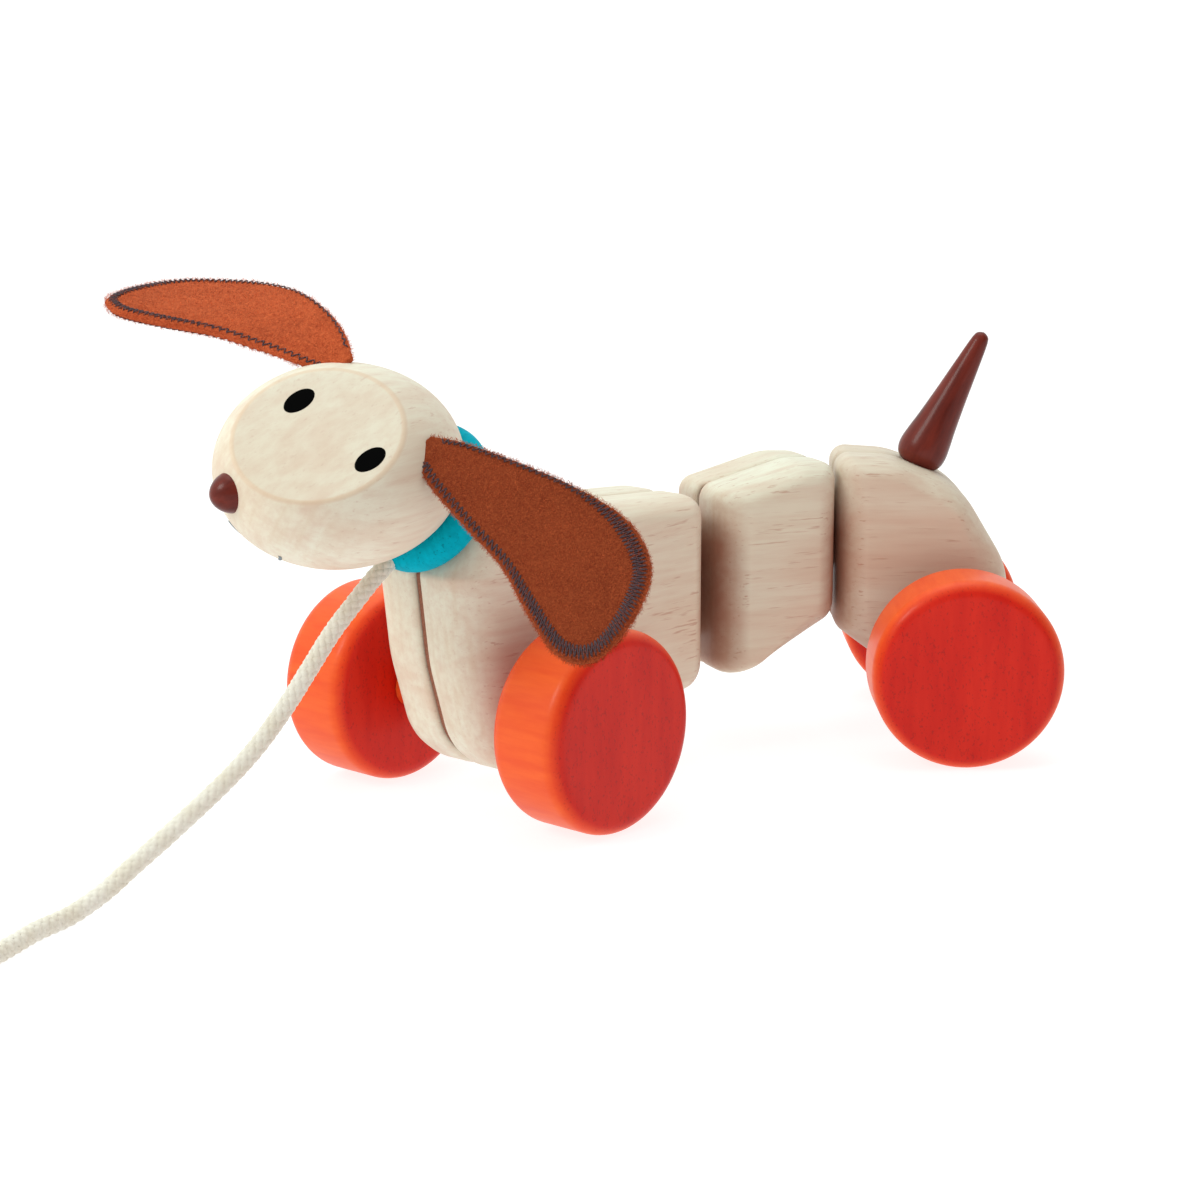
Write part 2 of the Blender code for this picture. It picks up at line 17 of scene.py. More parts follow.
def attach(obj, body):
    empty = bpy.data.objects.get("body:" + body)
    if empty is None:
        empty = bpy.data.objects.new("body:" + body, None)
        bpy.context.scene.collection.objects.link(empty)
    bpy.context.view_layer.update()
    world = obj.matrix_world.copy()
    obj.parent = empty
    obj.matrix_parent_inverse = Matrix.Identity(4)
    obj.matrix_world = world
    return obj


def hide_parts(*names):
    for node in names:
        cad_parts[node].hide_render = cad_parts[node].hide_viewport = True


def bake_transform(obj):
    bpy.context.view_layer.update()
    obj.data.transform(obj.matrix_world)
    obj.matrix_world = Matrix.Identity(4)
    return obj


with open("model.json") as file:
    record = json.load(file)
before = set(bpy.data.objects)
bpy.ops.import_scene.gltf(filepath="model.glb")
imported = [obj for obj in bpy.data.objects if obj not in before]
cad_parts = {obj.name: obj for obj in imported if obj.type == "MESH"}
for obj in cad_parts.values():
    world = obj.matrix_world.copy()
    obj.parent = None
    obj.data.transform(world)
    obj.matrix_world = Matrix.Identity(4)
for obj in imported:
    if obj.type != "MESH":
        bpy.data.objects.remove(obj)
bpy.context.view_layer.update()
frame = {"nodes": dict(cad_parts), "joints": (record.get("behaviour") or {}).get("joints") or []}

MM = 0.001
UP = Vector((0.0, 0.0, 1.0))

# Sizes shared with the CAD model
HALF_WIDTH = 18.0
SIDE_ROUND = 9.5
RADIUS_LOSS = 0.45
GROOVE_HALF = 1.0  # from the mid-plane to a wooden half's inner face
LIP_WIDTH = 1.8
LIP_EASE = 0.12
SEAM_HALF = 0.12  # half the fine seam where the two halves meet
STRAP_HALF = 0.7
WHEEL_RADIUS = 25.0
WHEEL_WIDTH = 21.6
WHEEL_OFFSET = 36.7
WHEEL_EDGE = 4.2
AXLE_RADIUS = 3.0
REAR_HINGE = 34.0
REAR_GAP = 2.4
HINGE_SPACING = 43.46
FRONT_GAP = 5.5
FRONT_HINGE = -73.5
NECK_PITCH = math.radians(28.0)
COLLAR_CENTRE = (18.8, 79.2)
COLLAR_RADIUS = 18.8
COLLAR_WIDTH = 9.0
PEG_RADIUS = 4.0
GAP = 0.3
HEAD_CENTRE = (46.2, 0.1, 90.5)
HEAD_SEMI_AXES = (33.7, 25.6, 22.1)
HEAD_TILT = (-34.5, 4.1, 4.2)
FACE_PITCH = math.radians(64.9)
FACE_DISTANCE = 17.97
FACE_NORMAL = Vector((math.cos(FACE_PITCH), 0.0, math.sin(FACE_PITCH)))
FACE_UP = Vector((-math.sin(FACE_PITCH), 0.0, math.cos(FACE_PITCH)))
FACE_ROLL = math.radians(5.1)
EYE_MIDDLE = (1.25, -3.7)
EYE_SPREAD = 11.35
EYE_SEMI_AXES = (2.4, 4.35)
EAR_ROOT = (-4.4, 17.8, 15.6)
EAR_THICKNESS = 2.4
EAR_START = -4.0  # along the ear, where its root ends inside the head
EAR_ROWS = 142
FIBRES = 15000
FIBRE_HALF_WIDTH = 0.035
THREAD_RADIUS = 0.18
WEB_INSET = 1.3
FLOOR_REACH = 60000.0
FLOOR_GLOW = 0.82
SKY_STRENGTH = 1.08
TAIL_BASE = (9.6, 72.0)
TAIL_LEAN = math.radians(26.4)
TAIL_LENGTH = 40.5
CORD_RADIUS = 2.2
COIL_RADIUS = 24.0
COIL_CENTRE = (188.7, -3.9)
COIL_START = (179.1, 20.5)
COIL_TURNS = 2.75
COIL_STEPS = 165
LOW_TURN = 2.25  # height of the cord's centre in the turns on the floor
TURN_RISE = 4.3
BRAID_PITCH = 16.8  # length of one full turn of a strand
STRAND_LIFT = 0.78  # mean distance of a strand from the centre, over the cord's radius
STRAND_WAVE = 0.20
STRAND_SEMI_AXES = (0.80, 0.36)
BEAD_RADIUS = 9.5
BEAD_OFFSET = 9.4
NOSE_CENTRE = (32.4, -3.4, -2.6)
NOSE_WAY = (0.967, -0.176, -0.180)
CORD_ROUTE = [
    (24.2, -2.0, 68.7), (30.2, -2.0, 64.2), (35.0, -1.8, 61.2), (42.0, -1.0, 56.6), (49.5, -0.5, 51.0),
    (57.0, 0.0, 44.0), (64.5, 0.0, 36.4), (73.0, 0.0, 29.0), (82.0, 0.0, 23.0), (92.0, 0.0, 17.6),
    (101.5, 0.0, 12.8), (111.0, 0.2, 8.4), (120.0, 1.0, 4.6), (130.0, 2.4, 2.3), (141.0, 5.2, 2.25),
    (151.0, 9.2, 2.25), (163.5, 14.3, 2.25),
]


# Frames of the blocks, from the joints

def joint(name):
    return next(item for item in frame["joints"] if item["name"] == name)


def frame_at(origin, left):
    """A matrix from (forward, left, up) to the model's frame, with its origin at floor level."""
    left = Vector(left).normalized()
    forward = left.cross(UP)
    matrix = Matrix((forward, left, UP)).transposed().to_4x4()
    matrix.translation = (origin[0], origin[1], 0.0)
    return matrix


front_spin = joint("front_axle_spin")
rear_spin = joint("rear_axle_spin")
front_turn = Vector(joint("front_hinge")["pos_m"])
rear_turn = Vector(joint("rear_hinge")["pos_m"])
FRONT = frame_at(front_spin["pos_m"], front_spin["axis"])
REAR = frame_at(rear_spin["pos_m"], rear_spin["axis"])
middle_forward = Vector((*(front_turn - rear_turn).xy, 0.0)).normalized()
MIDDLE = frame_at(front_turn, UP.cross(middle_forward))
HEAD = (
    FRONT
    @ Matrix.Translation(Vector(HEAD_CENTRE) * MM)
    @ Euler([math.radians(angle) for angle in HEAD_TILT]).to_matrix().to_4x4()
)
NECK = (
    FRONT
    @ Matrix.Translation(Vector((COLLAR_CENTRE[0], 0.0, COLLAR_CENTRE[1])) * MM)
    @ Matrix.Rotation(math.pi / 2 - NECK_PITCH, 4, "Y")
)


# Camera

CAMERA_PLACE = (-0.01607, -0.70676, 0.2019)
CAMERA_PITCH = math.radians(12.4)
CAMERA_HEADING = math.radians(-1.2)
CAMERA_LENS = 85.44

camera = bpy.data.objects.new("camera", bpy.data.cameras.new("camera"))
bpy.context.scene.collection.objects.link(camera)
camera.location = CAMERA_PLACE
camera.rotation_euler = (math.pi / 2 - CAMERA_PITCH, 0.0, CAMERA_HEADING)
camera.data.lens = CAMERA_LENS
camera.data.sensor_width = 36.0
camera.data.clip_start = 0.01
bpy.context.scene.camera = camera


# Mesh helpers

def put(name, mesh, place, material, body, sharp=35.0):
    """Makes an object of a mesh in its block's frame and rides it on a body."""
    obj = bpy.data.objects.new(name, mesh)
    bpy.context.scene.collection.objects.link(obj)
    obj.matrix_world = place
    mesh.materials.append(material)
    mesh.shade_smooth()
    mesh.set_sharp_from_angle(angle=math.radians(sharp))
    if body:
        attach(obj, body)
    return obj


def smooth_step(value):
    value = max(0.0, min(1.0, value))
    return value * value * (3 - 2 * value)


def mesh_from(name, build, normals=True):
    """A mesh in metres, which build(bmesh) has filled in millimetres."""
    shape = bmesh.new()
    build(shape)
    if normals:
        bmesh.ops.recalc_face_normals(shape, faces=shape.faces)
    bmesh.ops.scale(shape, vec=(MM, MM, MM), verts=shape.verts)
    mesh = bpy.data.meshes.new(name)
    shape.to_mesh(mesh)
    shape.free()
    return mesh


def loft(shape, rings, caps=True):
    """Skins a list of equal closed rings of points."""
    loops = [[shape.verts.new(point) for point in ring] for ring in rings]
    count = len(loops[0])
    for first, second in zip(loops, loops[1:]):
        for index in range(count):
            after = (index + 1) % count
            shape.faces.new((first[index], first[after], second[after], second[index]))
    if caps:
        shape.faces.new(loops[0])
        shape.faces.new(reversed(loops[-1]))
    return loops


def lathe(profile, steps):
    """Builds a turned shape about Z from (radius, height) points; zero radii become poles."""

    def build(shape):
        rows = []
        for radius, height in profile:
            if radius < 1e-6:
                rows.append([shape.verts.new((0.0, 0.0, height))])
                continue
            row = []
            for step in range(steps):
                angle = 2 * math.pi * step / steps
                row.append(shape.verts.new((radius * math.cos(angle), radius * math.sin(angle), height)))
            rows.append(row)
        for first, second in zip(rows, rows[1:]):
            for step in range(steps):
                after = (step + 1) % steps
                if len(first) == 1:
                    shape.faces.new((first[0], second[step], second[after]))
                elif len(second) == 1:
                    shape.faces.new((first[step], first[after], second[0]))
                else:
                    shape.faces.new((first[step], first[after], second[after], second[step]))

    return build


def arc(centre, radius, start, end, steps):
    """(radius, height) points on an arc, its angles in degrees from the outward direction."""
    points = []
    for step in range(steps + 1):
        angle = math.radians(start + (end - start) * step / steps)
        points.append((centre[0] + radius * math.cos(angle), centre[1] + radius * math.sin(angle)))
    return points


def smooth_curve(points, spacing, closed=False):
    """Points at about one spacing along a Catmull-Rom curve through the given points."""
    points = [Vector(point) for point in points]
    if closed:
        padded = [points[-1], *points, points[0], points[1]]
    else:
        padded = [2 * points[0] - points[1], *points, 2 * points[-1] - points[-2]]
    found = [points[0]]
    for before, start, end, after in zip(padded, padded[1:], padded[2:], padded[3:]):
        count = max(1, round((end - start).length / spacing))
        for step in range(1, count + 1):
            t = step / count
            bend = (2 * before - 5 * start + 4 * end - after) * t**2
            bend += (3 * start - before - 3 * end + after) * t**3
            found.append(0.5 * (2 * start + (end - before) * t + bend))
    return found[:-1] if closed else found


def tube(shape, path, radius, sides, closed=False):
    """A round tube along a path of points, with flat ends when it is open."""
    rings = []
    normal = None
    count = len(path)
    for index, point in enumerate(path):
        before = path[index - 1] if index or closed else point
        after = path[(index + 1) % count] if index < count - 1 or closed else point
        along = (after - before).normalized()
        if normal is None:
            normal = along.orthogonal().normalized()
        normal = (normal - along * normal.dot(along)).normalized()
        side = along.cross(normal)
        ring = []
        for step in range(sides):
            angle = 2 * math.pi * step / sides
            ring.append(point + (normal * math.cos(angle) + side * math.sin(angle)) * radius)
        rings.append(ring)
    if closed:
        rings.append(rings[0])
    return loft(shape, rings, caps=not closed)


# Material helpers

class Recipe:
    """A Principled material and short ways to add the nodes that feed it."""

    def __init__(self, name, roughness=0.5, specular=0.5, coat=0.0, coat_roughness=0.1, sheen=0.0):
        self.material = bpy.data.materials.new(name)
        self.material.use_nodes = True
        self.tree = self.material.node_tree
        self.shader = self.tree.nodes["Principled BSDF"]
        self.shader.inputs["Roughness"].default_value = roughness
        self.shader.inputs["Specular IOR Level"].default_value = specular
        self.shader.inputs["Coat Weight"].default_value = coat
        self.shader.inputs["Coat Roughness"].default_value = coat_roughness
        self.shader.inputs["Sheen Weight"].default_value = sheen
        self.place = self.tree.nodes.new("ShaderNodeTexCoord").outputs["Object"]

    def link(self, source, target):
        self.tree.links.new(source, target)

    def node(self, kind, sockets, **settings):
        made = self.tree.nodes.new(kind)
        for key, value in settings.items():
            setattr(made, key, value)
        for key, value in sockets.items():
            if isinstance(value, bpy.types.NodeSocket):
                self.link(value, made.inputs[key])
            else:
                made.inputs[key].default_value = value
        return made

    def stretched(self, scale, shift=(0.0, 0.0, 0.0)):
        found = self.node("ShaderNodeMapping", {"Vector": self.place, "Scale": scale, "Location": shift})
        return found.outputs["Vector"]

    def noise(self, vector, scale, detail=3.0, roughness=0.5, distortion=0.0):
        sockets = {"Vector": vector, "Scale": scale, "Detail": detail, "Roughness": roughness}
        sockets["Distortion"] = distortion
        return self.node("ShaderNodeTexNoise", sockets).outputs["Fac"]

    def range(self, value, low, high, to_low=0.0, to_high=1.0):
        sockets = {"Value": value, "From Min": low, "From Max": high}
        sockets.update({"To Min": to_low, "To Max": to_high})
        return self.node("ShaderNodeMapRange", sockets).outputs["Result"]

    def math(self, operation, first, second=0.0):
        return self.node("ShaderNodeMath", {0: first, 1: second}, operation=operation).outputs["Value"]

    def vector(self, operation, *values):
        return self.node("ShaderNodeVectorMath", dict(enumerate(values)), operation=operation)

    def mix(self, factor, first, second, blend="MIX"):
        made = self.node("ShaderNodeMix", {0: factor}, data_type="RGBA", blend_type=blend)
        for socket, value in ((made.inputs[6], first), (made.inputs[7], second)):
            if isinstance(value, bpy.types.NodeSocket):
                self.link(value, socket)
            else:
                socket.default_value = (*value, 1.0)
        return made.outputs[2]

    def colour(self, source):
        self.link(source, self.shader.inputs["Base Color"])

    def bump(self, height, distance, strength=1.0):
        sockets = {"Height": height, "Distance": distance * MM, "Strength": strength}
        self.link(self.node("ShaderNodeBump", sockets).outputs["Normal"], self.shader.inputs["Normal"])


def pale_recipe(name, shift, painted_shade_ends=None, pore_strength=0.6, tint=(1.0, 1.0, 1.0)):
    """Rubberwood with its grain along the object's X axis; chosen end faces get painted shade, browner below
    the top.
    """
    wood = Recipe(name, roughness=0.5, specular=0.3)
    long_grain = wood.stretched((0.08, 1.0, 1.0), shift)
    bands = wood.noise(long_grain, 110.0, 2.0, 0.5, 0.5)
    fine = wood.noise(long_grain, 560.0, 4.0, 0.65)
    pores = wood.noise(wood.stretched((0.07, 1.0, 1.0), shift), 1250.0, 2.0, 0.6)
    patches = wood.noise(wood.stretched((0.4, 1.0, 1.0), shift), 30.0, 2.0, 0.5)
    cream = wood.mix(wood.range(patches, 0.35, 0.7), (0.79, 0.745, 0.61), (0.76, 0.665, 0.52))
    banded = wood.mix(wood.range(bands, 0.48, 0.70, 0.0, 0.6), cream, (0.69, 0.49, 0.37))
    grained = wood.mix(wood.range(fine, 0.4, 0.75, 0.0, 0.38), banded, (0.62, 0.40, 0.29))
    normal = wood.tree.nodes.new("ShaderNodeTexCoord").outputs["Normal"]
    facing = wood.node("ShaderNodeSeparateXYZ", {"Vector": normal}).outputs["X"]
    end_grain = wood.range(wood.math("ABSOLUTE", facing), 0.3, 0.75)
    streaks = wood.noise(wood.stretched((0.6, 1.0, 0.05), shift), 700.0, 3.0, 0.5)
    shown_streaks = wood.math("MULTIPLY", end_grain, wood.range(streaks, 0.45, 0.75, 0.0, 0.5))
    grained = wood.mix(shown_streaks, grained, (0.68, 0.53, 0.38))
    dashes = wood.range(pores, 0.62, 0.72, 0.0, pore_strength)
    dashes = wood.math("MULTIPLY", dashes, wood.range(end_grain, 0.0, 1.0, 1.0, 0.3))
    tone = wood.mix(dashes, grained, (0.50, 0.25, 0.17))
    # Painted shade: end faces that look the chosen way are browned below the block's top, standing in for the
    # shade in the gaps between blocks.
    if painted_shade_ends:
        if painted_shade_ends == "both":
            facing = wood.math("ABSOLUTE", facing)
        elif painted_shade_ends == "back":
            facing = wood.math("MULTIPLY", facing, -1.0)
        height = wood.node("ShaderNodeSeparateXYZ", {"Vector": wood.place}).outputs["Z"]
        below_top = wood.range(height, 0.056, 0.070, 1.0, 0.1)
        brown = wood.mix(1.0, tone, (0.54, 0.31, 0.26), "MULTIPLY")
        tone = wood.mix(wood.math("MULTIPLY", wood.range(facing, 0.1, 0.95), below_top), tone, brown)
    # The tint multiplies the whole colour; where a block takes a darker tint, that is painted shade.
    wood.colour(wood.mix(1.0, tone, tint, "MULTIPLY"))
    height = wood.math("SUBTRACT", wood.math("MULTIPLY", fine, 0.3), wood.math("MULTIPLY", dashes, 0.8))
    wood.bump(height, 0.06, 0.6)
    return wood


def pale_wood(name, shift, painted_shade_ends=None, tint=(1.0, 1.0, 1.0)):
    return pale_recipe(name, shift, painted_shade_ends, tint=tint).material


def face_wood(name, shift):
    """The head's wood, with painted shade: a tan line where the flat face meets the round, and the flat face
    a little darker.
    """
    wood = pale_recipe(name, shift, pore_strength=0.3)
    inverse = [1 / (semi * MM) for semi in HEAD_SEMI_AXES]
    scaled = wood.vector("MULTIPLY", wood.place, inverse).outputs["Vector"]
    length = wood.vector("LENGTH", scaled).outputs["Value"]
    height = wood.vector("DOT_PRODUCT", wood.place, FACE_NORMAL).outputs["Value"]
    # Painted shade: a tan line along the flat face's edge and a slight darkening of the flat face, standing
    # in for the shading at that crease.
    on_face = wood.range(height, (FACE_DISTANCE - 0.7) * MM, (FACE_DISTANCE - 0.3) * MM)
    rim = wood.math("MULTIPLY", on_face, wood.range(length, 0.981, 0.992, 0.0, 0.45))
    flat = wood.math("MULTIPLY", on_face, 0.22)
    tone = wood.shader.inputs["Base Color"].links[0].from_socket
    tone = wood.mix(flat, tone, (0.66, 0.60, 0.48))
    wood.colour(wood.mix(rim, tone, (0.72, 0.50, 0.33)))
    return wood.material


def red_wood(name):
    """Stained wheel wood: its end faces, across Z, take more stain than its rim."""
    wood = Recipe(name, roughness=0.42, specular=0.16, coat=0.10, coat_roughness=0.14)
    normal = wood.tree.nodes.new("ShaderNodeTexCoord").outputs["Normal"]
    apart = wood.node("ShaderNodeSeparateXYZ", {"Vector": normal})
    facing = wood.math("ABSOLUTE", apart.outputs["Z"])
    end = wood.range(facing, 0.5, 0.92)
    edge = wood.math("MULTIPLY", wood.range(facing, 0.25, 0.6), wood.range(facing, 0.95, 0.7))
    rim_grain = wood.noise(wood.stretched((1.0, 1.0, 0.14)), 380.0, 4.0, 0.6)
    face_grain = wood.noise(wood.stretched((1.0, 0.16, 1.0)), 240.0, 3.0, 0.6)
    specks = wood.noise(wood.stretched((1.0, 0.6, 1.0)), 1900.0, 1.0, 0.5)
    rim = wood.mix(wood.range(rim_grain, 0.35, 0.7), (0.88, 0.118, 0.020), (0.81, 0.080, 0.016))
    face = wood.mix(wood.range(face_grain, 0.35, 0.7), (0.67, 0.018, 0.006), (0.58, 0.010, 0.004))
    dots = wood.range(specks, 0.60, 0.72, 0.0, 0.42)
    stained = wood.mix(wood.math("MULTIPLY", edge, 0.4), wood.mix(end, rim, face), (0.80, 0.045, 0.008))
    wood.colour(wood.mix(wood.math("MULTIPLY", dots, end), stained, (0.22, 0.008, 0.008)))
    wood.bump(wood.math("ADD", rim_grain, face_grain), 0.05, 0.5)
    return wood.material


def teal_paint():
    paint = Recipe("teal_paint", roughness=0.55, specular=0.03)
    grain = paint.noise(paint.stretched((1.0, 1.0, 0.3)), 700.0, 3.0, 0.6)
    specks = paint.noise(paint.place, 1500.0, 1.0)
    base = paint.mix(paint.range(grain, 0.35, 0.7), (0.0, 0.44, 0.58), (0.0, 0.34, 0.46))
    paint.colour(paint.mix(paint.range(specks, 0.64, 0.72, 0.0, 0.5), base, (0.0, 0.12, 0.17)))
    paint.bump(grain, 0.08, 0.5)
    return paint.material


def dark_wood():
    wood = Recipe("dark_wood", roughness=0.32, specular=0.16, coat=0.10, coat_roughness=0.12)
    grain = wood.noise(wood.stretched((1.0, 1.0, 0.14)), 330.0, 4.0, 0.6)
    wood.colour(wood.mix(wood.range(grain, 0.35, 0.7), (0.165, 0.022, 0.013), (0.090, 0.010, 0.006)))
    wood.bump(grain, 0.03, 0.4)
    return wood.material


def felt(name, painted_light=1.0):
    cloth = Recipe(name, roughness=1.0, specular=0.05, sheen=0.22)
    cloth.shader.inputs["Sheen Roughness"].default_value = 0.5
    cloth.shader.inputs["Sheen Tint"].default_value = (0.95, 0.45, 0.25, 1.0)
    fibres = cloth.noise(cloth.place, 1300.0, 5.0, 0.75, 1.5)
    patches = cloth.noise(cloth.place, 90.0, 3.0, 0.6)
    tones = ((0.225, 0.036, 0.012), (0.17, 0.025, 0.009), (0.39, 0.085, 0.028))
    # painted_light scales all the felt's tones; above 1 it is painted light for a piece that faces the lamps.
    brown, dark, fibre = ([part * painted_light for part in tone] for tone in tones)
    base = cloth.mix(cloth.range(patches, 0.3, 0.7), brown, dark)
    cloth.colour(cloth.mix(cloth.range(fibres, 0.4, 0.75), base, fibre))
    cloth.bump(fibres, 0.35, 0.7)
    return cloth.material


def thread(name, tone):
    yarn = Recipe(name, roughness=0.8, specular=0.15, sheen=0.1)
    twist = yarn.noise(yarn.place, 3500.0, 2.0)
    darker = [part * 0.55 for part in tone]
    yarn.colour(yarn.mix(yarn.range(twist, 0.4, 0.65), tone, darker))
    yarn.bump(twist, 0.05)
    return yarn.material


def cotton():
    yarn = Recipe("cotton", roughness=0.9, specular=0.2, sheen=0.3)
    fibres = yarn.noise(yarn.place, 2600.0, 4.0, 0.7)
    dirt = yarn.noise(yarn.place, 160.0, 2.0)
    base = yarn.mix(yarn.range(dirt, 0.35, 0.7), (0.86, 0.83, 0.74), (0.80, 0.75, 0.63))
    yarn.colour(yarn.mix(yarn.range(fibres, 0.55, 0.75, 0.0, 0.5), base, (0.62, 0.55, 0.43)))
    yarn.bump(fibres, 0.12, 0.8)
    return yarn.material


def strap_cloth():
    cloth = Recipe("strap_cloth", roughness=0.8, specular=0.25)
    weave = cloth.noise(cloth.place, 1800.0, 3.0)
    cloth.colour(cloth.mix(cloth.range(weave, 0.35, 0.7), (0.33, 0.13, 0.08), (0.21, 0.075, 0.045)))
    cloth.bump(weave, 0.1)
    return cloth.material


def print_ink(name, tone):
    ink = Recipe(name, roughness=0.9, specular=0.0)
    wear = ink.noise(ink.place, 2500.0, 2.0)
    lighter = [part * 1.6 for part in tone]
    ink.colour(ink.mix(ink.range(wear, 0.6, 0.8, 0.0, 0.5), tone, lighter))
    ink.bump(wear, 0.01)
    return ink.material


LOOKS = {
    "front": pale_wood("rubberwood_front", (0.01, 0.02, 0.03), "back"),
    # The middle and rear blocks take their own tints, the rear's darker: painted shade for how the light
    # falls on each block.
    "middle": pale_wood("rubberwood_middle", (0.21, 0.12, 0.07), "both", tint=(0.95, 0.98, 0.98)),
    "rear": pale_wood("rubberwood_rear", (0.43, 0.31, 0.13), "front", tint=(0.87, 0.83, 0.82)),
    "head": face_wood("rubberwood_head", (0.61, 0.44, 0.29)),
    "dowel": pale_wood("dowel_wood", (0.81, 0.52, 0.37)),
    "red": red_wood("red_wood"),
    "bead": red_wood("bead_wood"),
    "teal": teal_paint(),
    "dark": dark_wood(),
    # The right ear's felt and nap are brighter than the left's: painted light for the light falling on the
    # far ear's upper face.
    "felt_left": felt("felt_left"),
    "felt_right": felt("felt_right", 1.95),
    "nap_left": felt("nap_left", 1.7),
    "nap_right": felt("nap_right", 2.5),
    "thread": thread("stitch_thread", (0.092, 0.056, 0.066)),
    "cotton": cotton(),
    "strap": strap_cloth(),
    "black": print_ink("black_print", (0.003, 0.003, 0.003)),
    "grey": print_ink("grey_print", (0.24, 0.27, 0.29)),
}


# Wooden blocks: (forward, up, radius, shift forward, shift up) corners of the mid-plane outline

def neck_point(along):
    depth = COLLAR_WIDTH / 2 + GAP
    forward = COLLAR_CENTRE[0] - depth * math.cos(NECK_PITCH) - along * math.sin(NECK_PITCH)
    return forward, COLLAR_CENTRE[1] - depth * math.sin(NECK_PITCH) + along * math.cos(NECK_PITCH)


def front_corners():
    end = FRONT_HINGE + FRONT_GAP
    return [
        (*neck_point(10.5), 3.0, -6.0, -9.0),
        (-14.0, 73.2, 30.0, -2.0, -5.5),
        (-47.0, 71.2, 60.0, 1.0, -5.0),
        (end, 69.8, 4.5, 8.5, -4.5),
        (end, 19.4, 7.0, 8.5, 5.0),
        (2.0, 8.0, 15.0, -9.0, 6.0),
        (13.6, 17.0, 18.0, -11.0, 4.0),
        (20.0, 38.0, 44.0, -11.0, 0.0),
        (*neck_point(-18.0), 3.0, -11.0, 0.0),
    ]


def middle_corners():
    front = -FRONT_GAP
    back = REAR_GAP - HINGE_SPACING
    return [
        (front, 69.8, 4.5, -8.5, -4.5),
        (front, 17.4, 5.0, -8.5, 4.4),
        (back, 34.4, 6.0, 8.5, 3.0),
        (back, 75.2, 4.0, 8.5, -5.0),
        (-30.5, 75.9, 14.0, 2.0, -5.0),
    ]


def rear_corners():
    front = REAR_HINGE - REAR_GAP
    return [
        (front, 76.8, 4.0, -8.5, -5.0),
        (front, 30.6, 5.0, -8.5, 3.0),
        (9.0, 13.8, 13.0, -1.5, 6.0),
        (-4.0, 7.3, 9.5, 4.0, 8.2),
        (-14.6, 24.0, 18.0, 9.0, 2.0),
        (-15.2, 46.0, 22.0, 9.0, -1.0),
        (-1.2, 69.2, 24.0, 2.0, -7.0),
        (16.5, 75.8, 22.0, 0.0, -5.0),
    ]


BLOCKS = (
    ("front", front_corners(), FRONT),
    ("middle", middle_corners(), MIDDLE),
    ("rear", rear_corners(), REAR),
)


def outline(corners, side, steps=10):
    """Points round a block's outline, from the mid-plane at side 0 to the side face at 1."""
    places = [Vector((s + side * ds, z + side * dz)) for s, z, _, ds, dz in corners]
    points = []
    for index, corner in enumerate(corners):
        here = places[index]
        back = (places[index - 1] - here).normalized()
        on = (places[(index + 1) % len(places)] - here).normalized()
        half = 0.5 * math.acos(max(-1.0, min(1.0, back.dot(on))))
        radius = corner[2] * (1.0 - RADIUS_LOSS * side)
        centre = here + (back + on).normalized() * radius / math.sin(half)
        start = here + back * radius / math.tan(half) - centre
        sweep = start.angle_signed(here + on * radius / math.tan(half) - centre)
        for step in range(steps + 1):
            points.append(centre + Matrix.Rotation(-sweep * step / steps, 2) @ start)
    return points


def outward(points):
    """Unit normals that point out of a closed outline."""
    pairs = list(zip(points, points[1:] + points[:1]))
    hand = math.copysign(1.0, sum(a.x * b.y - b.x * a.y for a, b in pairs))
    found = []
    for index, point in enumerate(points):
        along = (points[(index + 1) % len(points)] - points[index - 1]).normalized()
        found.append(Vector((along.y, -along.x)) * hand)
    return found


def wooden_half(corners, hand):
    """Half a block, rounded over at its side face and opening softly where the strap shows."""
    rim = outline(corners, 0.0)
    eased = outline(corners, LIP_EASE)
    normals = outward(rim)
    opening = [smooth_step((abs(normal.x) - 0.35) / 0.5) for normal in normals]

    def build(shape):
        rings = [[(p.x - 3 * n.x, hand * GROOVE_HALF, p.y - 3 * n.y) for p, n in zip(rim, normals)]]
        for step in range(7):
            turn = math.pi / 2 * step / 6
            ring = []
            for point, inner, share in zip(rim, eased, opening):
                seam = SEAM_HALF + (GROOVE_HALF - SEAM_HALF) * share
                lip = LIP_WIDTH * (1.5 - 0.5 * share)
                place = point.lerp(inner, (1.6 - 0.6 * share) * (1 - math.sin(turn)))
                ring.append((place.x, hand * (seam + lip * (1 - math.cos(turn))), place.y))
            rings.append(ring)
        for step in range(13):
            turn = math.pi / 2 * step / 12
            lateral = HALF_WIDTH - SIDE_ROUND * (1 - math.sin(turn))
            rings.append([(p.x, hand * lateral, p.y) for p in outline(corners, 1 - math.cos(turn))])
        loft(shape, rings)

    return build


def strap_web(corners, inset):
    """The strap's flat web inside a block, just under its edges."""
    rim = outline(corners, 0.0)
    ring = [point - normal * inset for point, normal in zip(rim, outward(rim))]

    def build(shape):
        loft(shape, [[(p.x, side, p.y) for p in ring] for side in (-STRAP_HALF, STRAP_HALF)])

    return build


